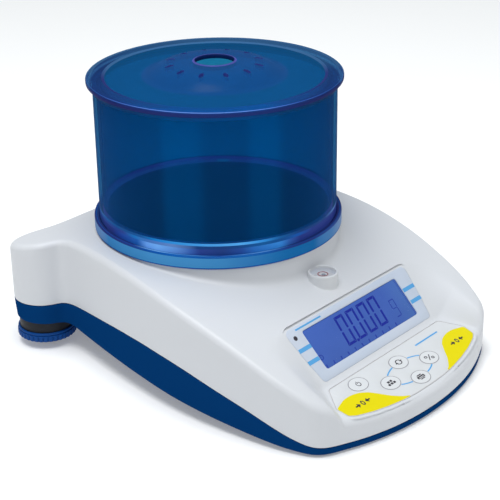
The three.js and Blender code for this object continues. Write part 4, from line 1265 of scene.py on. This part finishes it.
def display():
    slab("display_bezel", DISPLAY.place, window_loop(0.0), [lcd_loop(0.0)], -1.2, 0.06, "bezel",
         bevel=0.25, slot="window", replaces="display_window")
    slab("display_pane", DISPLAY.place, lcd_loop(-0.1), [], -0.22, -0.04, "pane", bevel=0.05,
         slot="window")
    slab("lcd_glass", DISPLAY.place, lcd_loop(-0.08), [], -4.4, -0.36, "lcd", bevel=0.04,
         slot="lcd", replaces="lcd_panel")
    digits = []
    for i in range(4):
        digits += zero_digit(DIGIT_X + i * DIGIT_PITCH, DIGIT_Y)
    digits.append(ring_pts(0.85, 20, (-9.35, -6.95)))
    prints("lcd_digits", DISPLAY.place, digits, -0.37, -0.30, "digit", slot="lcd")

    # unit mark of slanted bars to the right of the digits: u0, v0, u1, v1, width
    marks = [slanted_bar(*row) for row in (
        (24.6, 2.2, 28.3, 2.2, 0.55), (24.7, -2.35, 24.7, 2.0, 0.5),
        (28.3, -2.3, 28.3, 2.0, 0.5), (24.9, -2.65, 28.1, -2.65, 0.45),
        (28.3, -7.1, 28.3, -2.8, 0.5), (24.9, -7.4, 28.1, -7.4, 0.55))]
    for i in range(11):         # row of ticks along the lower edge
        u = -38.1 + i * 5.88
        marks.append(bar(u, -9.2, u - 0.2, -11.0, 0.8))
    marks += [arc_band((-38.2, -4.9), 1.25, 0.5, -0.7 * PI, 0.75 * PI),
              bar(-39.3, -6.3, -38.9, -3.6, 0.5)]
    for u in (37.6, 38.4):      # two columns of fine ticks at the right edge
        for i in range(25):
            v = -10.6 + i * 0.86
            marks.append(bar(u, v, u + 0.45, v + 0.1, 0.3))
    prints("lcd_marks", DISPLAY.place, marks, -0.37, -0.31, "digit_faint", slot="lcd")

    stripes = []
    for side, inner in ((-1, 40.0), (1, 39.45)):
        for outer, v in ((49.2, 2.9), (48.4, -4.5)):
            stripes.append(rect(side * inner, v - 1.1, side * outer, v + 1.1))
    stripes.append(rect(-43.4, 12.7, -23.2, 13.6))      # accent line
    prints("bezel_stripes", DISPLAY.place, stripes, 0.05, 0.085, "skyblue", slot="window")
    prints("light_sensor", DISPLAY.place, [ring_pts(1.25, 28, (-46.2, 9.6))], 0.04, 0.1, "ink",
           slot="window")


display()


# ------------------------------------------------------------------ keypad
def keypad_sheet():
    holes = [oval_pts(5.04, 64, c) for c in KEYS.values()]
    holes += [tare_loop(s, 0.0) for s in (-1, 1)]
    slab("keypad_sheet", KEYPAD.place, sheet_loop(0.0), holes, -0.5, 0.05, "overlay", bevel=0.1,
         slot="overlay", replaces="keypad_overlay")
    border = sheet_loop(-0.1)
    prints("keypad_border", KEYPAD.place, [(border, [offset(border, 0.28)])], 0.04, 0.07,
           "line", slot="overlay")


def ring_print():
    """Light blue oval that links four of the round keys, broken at each, and an accent line."""
    n = 720
    t = np.linspace(0, 2 * PI, n, endpoint=False)
    oval = np.stack([17.0 * np.cos(t), KEYPAD.up(-128.3) + 7.15 * np.sin(t)], 1)
    free = np.ones(n, bool)
    for name, c in KEYS.items():
        if name != "power_key":
            d = (oval - c) / KEY_STRETCH
            free &= np.hypot(d[:, 0], d[:, 1]) > 5.2
    index = np.where(free)[0]
    arcs = np.split(index, np.where(np.diff(index) > 1)[0] + 1)
    bands = [stroke(oval[arc], 0.75) for arc in arcs]
    bands.append(rect(19.0, KEYPAD.up(-118.8), 39.2, KEYPAD.up(-117.9)))
    prints("keypad_ring_print", KEYPAD.place, bands, 0.045, 0.08, "skyblue", slot="overlay")


# round key: distance in from the key radius, height; steps 1 to 3 are the printed outline
KEY_PROFILE = [(0, -4.0), (0, 0.02), (0.03, 0.06), (0.1, 0.085), (0.34, 0.10), (0.42, 0.104),
               (0.92, 0.12), (1.6, 0.14), (2.6, 0.16), (3.6, 0.17), (KEY_R - 0.35, 0.175)]
KEY_STEM = [(KEY_R, -4.0), (6.0, -4.0), (6.0, -4.9), (0.3, -4.9)]      # r, height


def round_key(name, c):
    """Shallow dome, with a flange below the sheet."""
    n = 72
    piece = Builder()

    def oval(r, height):
        return KEYPAD.place(oval_pts(r, n, c), height)

    rows = [oval(KEY_R - inset, height) for inset, height in KEY_PROFILE]
    for i in range(len(rows) - 1):
        piece.strips(rows[i:i + 2], slot=1 if 1 <= i <= 3 else 0)
    piece.add(np.vstack([rows[-1], KEYPAD.place([c], 0.175)]),
              [(i, (i + 1) % n, n) for i in range(n)])
    rows = [oval(r, height) for r, height in KEY_STEM]
    piece.strips(rows, flip=True)
    piece.add(np.vstack([rows[-1], KEYPAD.place([c], -4.9)]),
              [((i + 1) % n, i, n) for i in range(n)])
    build(name + "_dome", piece, "key outline", weld=1e-6, sharp=40, body=name + "_cap",
          slot="key_white", replaces=name)


def moved(shape, scale, shift):
    """Print shape scaled about the origin, then shifted."""
    if isinstance(shape, tuple):
        return moved(shape[0], scale, shift), [moved(h, scale, shift) for h in shape[1]]
    return shape * scale + np.asarray(shift)


def icon(name, key, shapes):
    scale = np.array([1.0, 1.0] if key == "power_key" else [1.4, 1.15])
    prints(name, KEYPAD.place, [moved(s, scale, KEYS[key]) for s in shapes], 0.15, 0.15 + 0.05,
           "ink", body=key + "_cap", slot="key_white")


def key_icons():
    icon("power_symbol", "power_key", [
        arc_band((0, 0), 1.35, 0.42, PI * 0.66, PI * 2.34), bar(0, 0.35, 0, 2.0, 0.42)])
    head = np.array([[1.35 + 0.75, 0.5], [1.35 - 0.75, 0.5], [1.2, -0.6]])
    icon("cycle_symbol", "mode_key", [
        arc_band((0, 0), 1.35, 0.42, PI * 0.15, PI * 0.9),
        arc_band((0, 0), 1.35, 0.42, PI * 1.15, PI * 1.9), head, -head])
    icon("percent_symbol", "units_key", [bar(-1.15, -1.5, 1.15, 1.5, 0.4)] + [
        (ring_pts(0.75, 24, c), [ring_pts(0.38, 24, c)]) for c in ((-1.25, 0.95), (1.25, -0.95))])
    icon("stack_symbol", "sample_key", [
        rect(x, y, x + 1.1, y + 1.1) for x, y in (
            (-2.0, -1.25), (-0.55, -1.25), (0.9, -1.25), (-1.25, 0.2), (0.2, 0.2))])
    icon("print_symbol", "print_key", [
        (rect(-2.0, -0.75, 2.0, 0.65), [rect(-1.35, -0.42, 1.35, -0.05)]),
        rect(-1.2, 0.95, 1.2, 1.5), rect(-1.2, -1.5, 1.2, -1.02)])


def tare_key(side_name, side):
    """Yellow key with a low dome and a nought between two arrows."""
    name = "tare_key_" + side_name
    loop = tare_loop(side, 0.04)
    cx, cy = side * 41.5, KEYPAD.up(-129.3)

    def dome(p):
        r = np.hypot((p[:, 0] - cx) / 1.35, p[:, 1] - cy)
        return 0.22 * np.exp(-(r / 3.4) ** 4)

    g = grid(np.arange(-56, 56.1, 0.8), np.arange(-16, 8, 0.8))
    g = away(g[inside(offset(loop, 0.1), g)], loop, 0.45)
    tags = dict(body=name + "_cap", slot="key_yellow")
    slab(name + "_cap_piece", KEYPAD.place, loop, [], -0.25, 0.06, "yellow", bevel=0.1,
         points=g, dome=dome, replaces=name, **tags)
    shapes = [(ring_pts(0.95, 28) * [0.8, 1.15], [ring_pts(0.5, 28) * [0.72, 1.3]])]
    for q in (-1, 1):
        shapes.append(np.array([[q * 1.35, 0], [q * 2.55, 0.95], [q * 2.55, -0.95]]))
        shapes.append(bar(q * 2.5, 0, q * 3.6, 0, 0.5))
    prints("zero_symbol_" + side_name, KEYPAD.place, [moved(s, 1.5, (cx, cy)) for s in shapes],
           0.2, 0.31, "ink", **tags)


SIDES = (("left", -1), ("right", 1))
keypad_sheet()
ring_print()
for key_name, key_centre in KEYS.items():
    round_key(key_name, key_centre)
key_icons()
for side_name, side in SIDES:
    tare_key(side_name, side)

# ------------------------------------------------------------------ spirit level
LEVEL = (local("level_housing")[0], local("level_housing")[1] - 1.8)
LEVEL_UP = 1.6      # added to every height in the profiles below
LEVEL_R = 7.95


def level():
    def raised(profile):
        return [(r, z + LEVEL_UP) for r, z in profile]

    n, fillet = 128, 0.7
    rows = []
    for a in np.linspace(0, PI / 2, 8):     # soft root that follows the sloping deck
        q = circle(LEVEL_R + fillet * (1 - math.sin(a)), n, LEVEL)
        z = np.minimum(top_z(q[:, 0], q[:, 1]), 54.2)
        rows.append(lift(q, z - 0.06 + fillet * (1 - math.cos(a))))
    base, top = rows[-1][:, 2], 53.9 + LEVEL_UP
    for t in (0.4, 0.8, 1.0):
        rows.append(lift(circle(LEVEL_R, n, LEVEL), base * (1 - t) + top * t))
    rows += rings(raised([
        (7.93, 54.2), (7.86, 54.5), (7.76, 54.72), (7.6, 54.84), (7.4, 54.88), (7.1, 54.84),
        (6.88, 54.7), (6.76, 54.45), (6.7, 54.0), (6.66, 51.4), (6.2, 51.2)]), n, LEVEL)
    boss = Builder()
    boss.strips(rows)
    ob = build("level_boss", boss, "boss", weld=1e-6, slot="key_white",
               replaces="level_housing")
    solidify(ob, 0.5)

    # cup with a low white cone that carries the red circle
    lathe("level_cup", raised([
        (6.62, 50.4), (6.62, 51.6), (6.3, 51.7), (5.4, 51.75), (5.0, 51.95), (3.3, 53.0),
        (3.0, 53.1), (0.0, 53.1), (0.0, 50.4)]), "inner_white", n=96, sharp=30, c=LEVEL,
        slot="key_white")
    lathe("level_circle", raised([
        (2.62 + 0.27 * math.cos(a), 53.14 + 0.2 * math.sin(a))
        for a in np.linspace(0, 2 * PI, 12, endpoint=False)]), "red", n=72, sharp=80, c=LEVEL,
        slot="vial")
    lathe("level_capsule", raised([
        (0.0, 53.55), (6.55, 53.55), (6.55, 53.75), (6.3, 53.85), (3.0, 54.05), (0.0, 54.1)]),
        "pane", n=96, sharp=50, c=LEVEL, slot="vial", replaces="level_vial")

    # flat bubble, a little off centre
    stacks, r, half_height = 12, 1.2, 0.16
    c = (LEVEL[0] - 0.5, LEVEL[1] - 0.9)
    bubble = Builder()
    bubble.strips([lift(circle(r * math.sin(a), 32, c), 53.3 + LEVEL_UP + half_height * math.cos(a))
                   for a in (PI * i / stacks for i in range(stacks + 1))])
    build("level_bubble", bubble, "bubble", weld=1e-6, slot="vial")


level()


# ------------------------------------------------------------------ levelling feet and pads
def levelling_foot(side_name, side):
    """Fluted wheel, neck above it and rubber pad below it."""
    c = (side * FOOT_X, FOOT_Y)
    z0, z1 = foot_of("foot_dial_" + side_name), top_of("foot_dial_" + side_name)
    collar_top = top_of("foot_collar_" + side_name)
    flute_top = z0 + 3.5

    def flutes(r, z, angles):
        if z < flute_top and r > 15.6:
            depth = 0.75 * np.clip((flute_top - z) / 0.5, 0, 1)
            return r - depth * (0.5 + 0.5 * np.cos(36 * angles)) ** 3
        return r

    profile = [(3.3, z1)]
    profile += [(r, z0 + z) for r, z in (
        (3.3, 1.4), (8.0, 1.4), (8.0, 0.1), (8.2, 0), (15.4, 0), (16.0, 0.15), (16.3, 0.55),
        (16.3, 1.6), (16.3, 2.9), (16.25, 3.25), (16.1, 3.5), (15.75, 3.62), (15.5, 3.7),
        (15.45, 3.85), (15.55, 4.0), (15.85, 4.1), (15.95, 4.3))]
    profile += [(r, z1 - z) for r, z in (
        (15.95, 0.6), (15.85, 0.25), (15.6, 0.03), (15.3, 0), (15.1, 0), (14.98, 0.1),
        (14.95, 0.4), (14.9, 0.5), (10, 0.5), (3.6, 0.5))]
    body = side_name + "_foot"
    lathe("foot_wheel_" + side_name, profile, "foot", n=432, sharp=40, c=c, shape=flutes,
          body=body, slot="foot_blue", replaces="foot_dial_" + side_name)
    lathe("foot_neck_" + side_name,
          [(3.3, z1 - 0.3), (14.8, z1 - 0.3), (14.8, collar_top), (3.3, collar_top)], "black",
          n=128, sharp=40, c=c, radii=[0.2, 0.3, 0.6, 0.2], body=body, slot="black_plastic",
          replaces="foot_collar_" + side_name)
    lathe("foot_rubber_" + side_name, [(0.0, 0.0), (7.5, 0.0), (7.5, 5.2), (0.0, 5.2)],
          "rubber", n=96, sharp=40, c=c, radii=[0, 0.5, 0.3, 0], body=body + "_pad",
          slot="rubber", replaces="foot_pad_" + side_name)


for side_name, side in SIDES:
    levelling_foot(side_name, side)
for side_name, side in SIDES:
    lathe("front_pad_" + side_name, [(0.0, 0.0), (6.0, 0.0), (6.0, 2.3), (0.0, 2.3)], "rubber",
          n=64, sharp=40, c=(side * PAD_X, PAD_Y), radii=[0, 0.5, 0.2, 0], slot="rubber",
          replaces="front_foot_" + side_name)

# ------------------------------------------------------------------ draught shield
TUBE_OUT, TUBE_IN = 64.2, 62.2


def tube_zone(r, z):
    """Slot for the bands near the foot of the tube, outside and inside, which carry painted
    highlights, painted shade and painted glow.
    """
    if r > TUBE_OUT - 0.05:
        bands = ((1, 73.9, 77.2), (2, 77.2, 78.8), (3, 78.8, 80.2))
    elif r < TUBE_IN + 0.05:
        bands = ((4, 70.5, 78.4), (5, 78.4, 80.4))
    else:
        bands = ()
    return next((slot for slot, low, high in bands if low < z < high), 0)


# slot of a step of the ring's profile; the top carries painted highlight streaks and glow, the
# groove a painted highlight line
def ring_zone(r, z):
    if r > 67.0 and 68.05 < z < 73.4:
        return 0
    if r > 64.4 and z >= 73.4:
        return 3 if 65.8 < r < 66.25 else 1 if r >= 66.25 else 2
    return 4 if z < 68.05 and r > 66.7 else 2


def shield():
    lathe("shield_tube", [
        (TUBE_IN, 70.1), (TUBE_OUT, 70.1), (TUBE_OUT, 73.9), (TUBE_OUT, 77.2), (TUBE_OUT, 78.8),
        (TUBE_OUT, 80.2), (TUBE_OUT, 146.8), (TUBE_IN, 146.8), (TUBE_IN, 80.4), (TUBE_IN, 78.4)],
        "shield foot_a foot_b foot_c foot_in foot_in_top", n=256, sharp=50,
        radii=[0.3, 0.3, 0, 0, 0, 0, 0.5, 0.5, 0, 0], zone=tube_zone, body="shield",
        slot="shield_tint", replaces="shield_cylinder")
    # base ring: outer band, top with a fine groove, gutter for the tube
    lathe("shield_foot_ring", [
        (60.9, 67.7), (61.2, 67.3), (66.7, 67.3), (67.0, 67.42), (67.1, 67.75), (67.1, 68.05),
        (67.1, 73.35), (67.02, 73.75), (66.8, 74.0), (66.5, 74.1), (66.28, 74.1),
        (66.2, 74.02), (66.12, 73.9), (66.0, 73.88), (65.88, 73.9), (65.8, 74.02),
        (65.72, 74.1), (64.9, 74.1), (64.65, 74.0), (64.5, 73.7), (64.5, 70.1), (64.3, 69.8),
        (62.1, 69.8), (61.9, 70.1), (61.9, 71.35), (61.75, 71.6), (61.1, 71.6), (60.9, 71.4)],
        "ring top_outer top_inner line_blue line_deep", n=288, sharp=60, zone=ring_zone,
        body="shield", slot="ring_tint", replaces="shield_base_ring")


shield()

# ------------------------------------------------------------------ lid
LID_MATS = "lid dark lidrim skirt dome flange edge_light skirt_line hole_wall vent_wall"
LID = {key: i for i, key in enumerate(LID_MATS.split())}    # no face uses the painted highlight line of the skirt
LID_T = 2.1                     # wall thickness
DOME_IN, DOME_OUT = 11.6, 38.4  # meshed part of the dome, between the hole and the flat ring
VENTS, VENT_R = 12, 24
VENT_HALF = [2.45, 1.25]        # half sizes, along and across the radius

DOME_GRID = np.arange(0, 80, 0.25)
# r against z of the dome's top
DOME_Z = smooth(np.interp(
    DOME_GRID, [0, 10.3, 18, 24, 28, 31, 34, 36.4, 38, 80],
    [156.5, 156.4, 156.15, 155.5, 154.3, 152.9, 151.2, 149.8, 149.4, 149.4]), 0.7, 0.25)


def dome_z(r):
    return np.interp(r, DOME_GRID, DOME_Z)


def lid_zone(r, z):
    """Slot of a step of the outer profile."""
    if z > 149.2 and 57.6 < r < 59.3:
        return "dark"
    # top edge: the painted highlight
    if z > 149.8 and 66.7 < r < 67.2:
        return "edge_light"
    if r > 67.3 or (r > 66.85 and z < 148):
        return "dark"
    if z > 149.2 and r >= 59.3:
        return "lidrim" if r < 64.7 else "flange"
    if (z < 147.2 and r > 64) or (z < 147.0 and r < 62):
        return "skirt"
    return "flange" if r > 64.4 else "lid"


def lid_dome(piece, n):
    """Dome between the centre hole and the flat ring, with a circle of oval vents."""
    vents = []
    for i in range(VENTS):
        a = math.radians(-4.4) + i * 2 * PI / VENTS
        turn = np.array([[math.cos(a), math.sin(a)], [-math.sin(a), math.cos(a)]])
        oval = ring_pts(1.0, 28) * VENT_HALF
        vents.append(oval @ turn + [VENT_R * math.cos(a), VENT_R * math.sin(a)])
    pts = np.vstack([ring_pts(r, max(60, int(2 * PI * r / 1.0)), start=0.01 * r)
                     for r in np.arange(12.4, 38.0, 0.9)])
    for vent in vents:
        pts = away(pts[~inside(vent, pts)], vent, 0.35)
    pts, tri = fill(circle(DOME_OUT, n), [circle(DOME_IN, n)] + vents, pts)
    z = dome_z(np.hypot(pts[:, 0], pts[:, 1]))
    piece.add(lift(pts, z), tri, LID["dome"])
    piece.add(lift(pts, z - LID_T), tri[:, ::-1], LID["lid"])
    for vent in vents:
        z = dome_z(np.hypot(vent[:, 0], vent[:, 1]))
        piece.strips([lift(vent, z), lift(vent, z - LID_T)], LID["vent_wall"], flip=True)


def lid_hole(piece, n):
    """Rolled lip of the centre hole."""
    top = float(dome_z(DOME_IN))
    low = top - LID_T
    hub = rings([
        (DOME_IN, top), (11.35, top + 0.12), (11.1, top + 0.32), (10.8, top + 0.42),
        (10.5, top + 0.36), (10.32, top + 0.1), (10.3, top - 0.5), (10.3, low + 0.4),
        (10.5, low + 0.1), (11.0, low), (DOME_IN, low)], n)
    piece.strips(hub[:5], LID["vent_wall"])
    piece.strips(hub[4:], LID["hole_wall"])


def lid_rim(piece, n):
    """Flat ring, raised rim, outer edge and the two skirts below."""
    flat = float(dome_z(DOME_OUT))
    profile = [
        (DOME_OUT, flat), (50, flat), (57.6, flat), (58.1, flat + 0.03), (58.7, flat + 0.28),
        (59.2, flat + 0.5), (59.8, flat + 0.58), (63, 150.0), (64.7, 150.0), (66.7, 150.0),
        (67.15, 149.88), (67.42, 149.6), (67.5, 149.2), (67.5, 148.3), (67.42, 147.8),
        (67.15, 147.5), (66.9, 147.35), (65.6, 147.3), (65.35, 147.1), (65.3, 146.6),
        (65.3, 145.5), (65.2, 145.15), (64.95, 145.0), (64.8, 145.05), (64.7, 145.3),
        (64.7, 147.0), (64.5, 147.25), (61.9, 147.25), (61.7, 147.1), (61.65, 146.6),
        (61.65, 144.8), (61.5, 144.55), (61.2, 144.45), (60.2, 144.45), (59.9, 144.55),
        (59.75, 144.9), (59.7, 146.4), (59.3, 147.0), (58.6, 147.3), (DOME_OUT, flat - LID_T)]
    for (ra, za), (rb, zb) in zip(profile[:-1], profile[1:]):
        zone = lid_zone(0.5 * (ra + rb), 0.5 * (za + zb))
        piece.strips(rings([(ra, za), (rb, zb)], n), LID[zone], flip=True)


def lid():
    n = 288
    piece = Builder()
    lid_dome(piece, n)
    lid_hole(piece, n)
    lid_rim(piece, n)
    build("lid_moulding", piece, LID_MATS, weld=4e-6, sharp=50, body="lid", slot="shield_tint",
          replaces="shield_lid")


lid()

# ------------------------------------------------------------------ pan
lathe("pan_dish", [
    (0.0, 77.0), (58.6, 77.0), (59.0, 76.6), (59.0, 73.6), (59.4, 73.5), (60.0, 73.6),
    (60.0, 77.2), (59.8, 77.7), (59.3, 77.95), (58.6, 78.0), (57.4, 77.97), (56.6, 77.8),
    (55.6, 77.7), (40, 77.7), (0.0, 77.7)], "pan", n=256, sharp=50, body="pan",
    slot="pan_steel", replaces="weighing_pan")


# ------------------------------------------------------------------ rear sockets
def rear_face(y):
    """Placement on the rear: u runs towards -x, v is z, depth is towards +y."""
    def place(uv, depth):
        uv = np.asarray(uv)
        return np.stack([-uv[:, 0], np.full(len(uv), y) + depth, uv[:, 1]], 1)
    return place


def sockets():
    """A face plate round each opening, with a dark insert in it."""
    serial = round_poly([[31.8, 36.4], [47.2, 36.4], [48.0, 43.6], [31.0, 43.6]], 1.2, 6)
    usb = round_poly([[-4.2, 36.2], [4.2, 36.2], [4.2, 42.4], [2.9, 43.8], [-2.9, 43.8],
                      [-4.2, 42.4]], 0.4, 4)
    jack_centre, jack_y = (-32, 40), 81.15
    jack = ring_pts(3.3, 48, jack_centre)
    # name, replaced node, material, slot, plate (u0, z0, u1, z1), face y, opening
    for name, node, mats, slot, plate, y, opening in (
            ("serial", "serial_port", "steel", "zinc_steel", (29.3, 34.8, 49.7, 45.2), 81.15,
             serial),
            ("usb", "usb_port", "steel", "zinc_steel", (-6.3, 34.3, 6.3, 45.7), 81.35, usb),
            ("power", "power_jack", "socket", "black_plastic", (-37.3, 34.3, -26.7, 45.7),
             jack_y, jack)):
        slab(name + "_socket", rear_face(y), round_poly(rect(*plate), 0.8, 5), [opening], -8.0,
             0.0, mats, bevel=0.25, slot=slot, replaces=node)
        prints(name + "_insert", rear_face(y), [offset(opening, -0.05)], -0.7, -0.1, "socket")
    prints("power_pin", rear_face(jack_y), [ring_pts(1.0, 24, jack_centre)], -0.6, 0.0, "steel",
           slot="zinc_steel")


sockets()

# ------------------------------------------------------------------ CAD nodes that stay
KEPT_NODES = {
    "black": ["pan_support"],
    "alu": ["pan_bracket", "load_cell", "load_cell_spacer"],
    "steel": ["chassis_plate", "overload_stop_screw", "cell_screw_rear", "cell_screw_front",
              "bracket_screw_front", "bracket_screw_rear", "case_screw_1", "case_screw_2",
              "case_screw_3", "case_screw_4", "foot_stud_left", "foot_stud_right"],
    "brass": ["foot_insert_left", "foot_insert_right"],
    "pcb": ["main_board", "display_board", "keypad_board", "socket_board"],
    "diffuser": ["lcd_backlight"],
    "battery": ["battery_pack"],
    "cable": ["load_cell_cable", "ribbon_cable", "socket_cable"]}
for key, names in KEPT_NODES.items():
    for name in names:
        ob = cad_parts[name]
        if not ob.data.materials:
            ob.data.materials.append(MATS[key])
        for material_slot in ob.material_slots:
            material_slot.material = MATS[key]
        for polygon in ob.data.polygons:
            polygon.use_smooth = False


# ------------------------------------------------------------------ stage, light and camera (m)
def floor():
    m = Mat("floor", "floor_pale")
    tone = m.mix(m.noise(scale=3.0, detail=2), (0.80, 0.80, 0.80, 1), (0.84, 0.84, 0.84, 1))
    m.set(color=tone, rough=0.7, spec=0.1, emit=(1.0, 1.0, 1.0, 1), emit_strength=0.22)
    half = 6.0
    corners = lift(rect(-half, -half, half, half), -0.0002)
    new_object("floor", corners, [(0, 1, 2, 3)], [MATS["floor"]])


def studio_world():
    """Pale backdrop, slightly cooler upwards."""
    world = bpy.data.worlds.new("studio")
    bpy.context.scene.world = world
    world.use_nodes = True
    tree = world.node_tree
    background = tree.nodes["Background"]
    background.inputs["Strength"].default_value = 0.43
    coords = tree.nodes.new("ShaderNodeTexCoord")
    split = tree.nodes.new("ShaderNodeSeparateXYZ")
    ramp = tree.nodes.new("ShaderNodeValToRGB")
    for element, position, color in zip(
            ramp.color_ramp.elements, (0.0, 0.8), ((0.97, 0.97, 0.98, 1), (0.90, 0.98, 1.0, 1))):
        element.position = position
        element.color = color
    tree.links.new(coords.outputs["Generated"], split.inputs[0])
    tree.links.new(split.outputs[2], ramp.inputs[0])
    tree.links.new(ramp.outputs[0], background.inputs[0])


def area_light(name, location, target, size, power, color=(1, 1, 1)):
    light = bpy.data.lights.new(name, "AREA")
    light.shape = "RECTANGLE"
    light.size, light.size_y = size
    light.energy = power
    light.color = color
    ob = bpy.data.objects.new(name, light)
    bpy.context.scene.collection.objects.link(ob)
    ob.location = location
    aim = Vector(target) - Vector(location)
    ob.rotation_euler = aim.to_track_quat("-Z", "Y").to_euler()


def camera():
    data = bpy.data.cameras.new("camera")
    ob = bpy.data.objects.new("camera", data)
    bpy.context.scene.collection.objects.link(ob)
    data.sensor_width = 36.0
    data.sensor_fit = "HORIZONTAL"
    data.lens = 101.0952
    data.clip_start = 0.05
    data.clip_end = 50
    right = Vector((0.6503, -0.7596, -0.0145)).normalized()
    forward = Vector((0.6893, 0.5979, -0.4091)).normalized()
    up = right.cross(forward).normalized()
    right = forward.cross(up).normalized()
    pose = Matrix((right, up, -forward)).transposed().to_4x4()
    pose.translation = Vector((-0.52322 + PAN_AXIS[0], -0.47623 + PAN_AXIS[1], 0.36492))
    ob.matrix_world = pose
    bpy.context.scene.camera = ob


floor()
studio_world()
area_light("key_top", location=(-0.2, 0.0, 1.25), target=(0, 0.0, 0.05), size=(0.9, 0.8),
           power=15.0, color=(0.975, 0.985, 1.0))
area_light("fill_left", location=(-1.2, -0.1, 0.5), target=(0, 0.0, 0.06), size=(0.6, 0.7),
           power=0.5)
area_light("fill_right", location=(0.8, -0.9, 0.5), target=(0, 0, 0.06), size=(0.5, 0.6),
           power=0.9)
camera()
bpy.context.scene.view_settings.view_transform = "Standard"
bpy.context.scene.view_settings.look = "None"
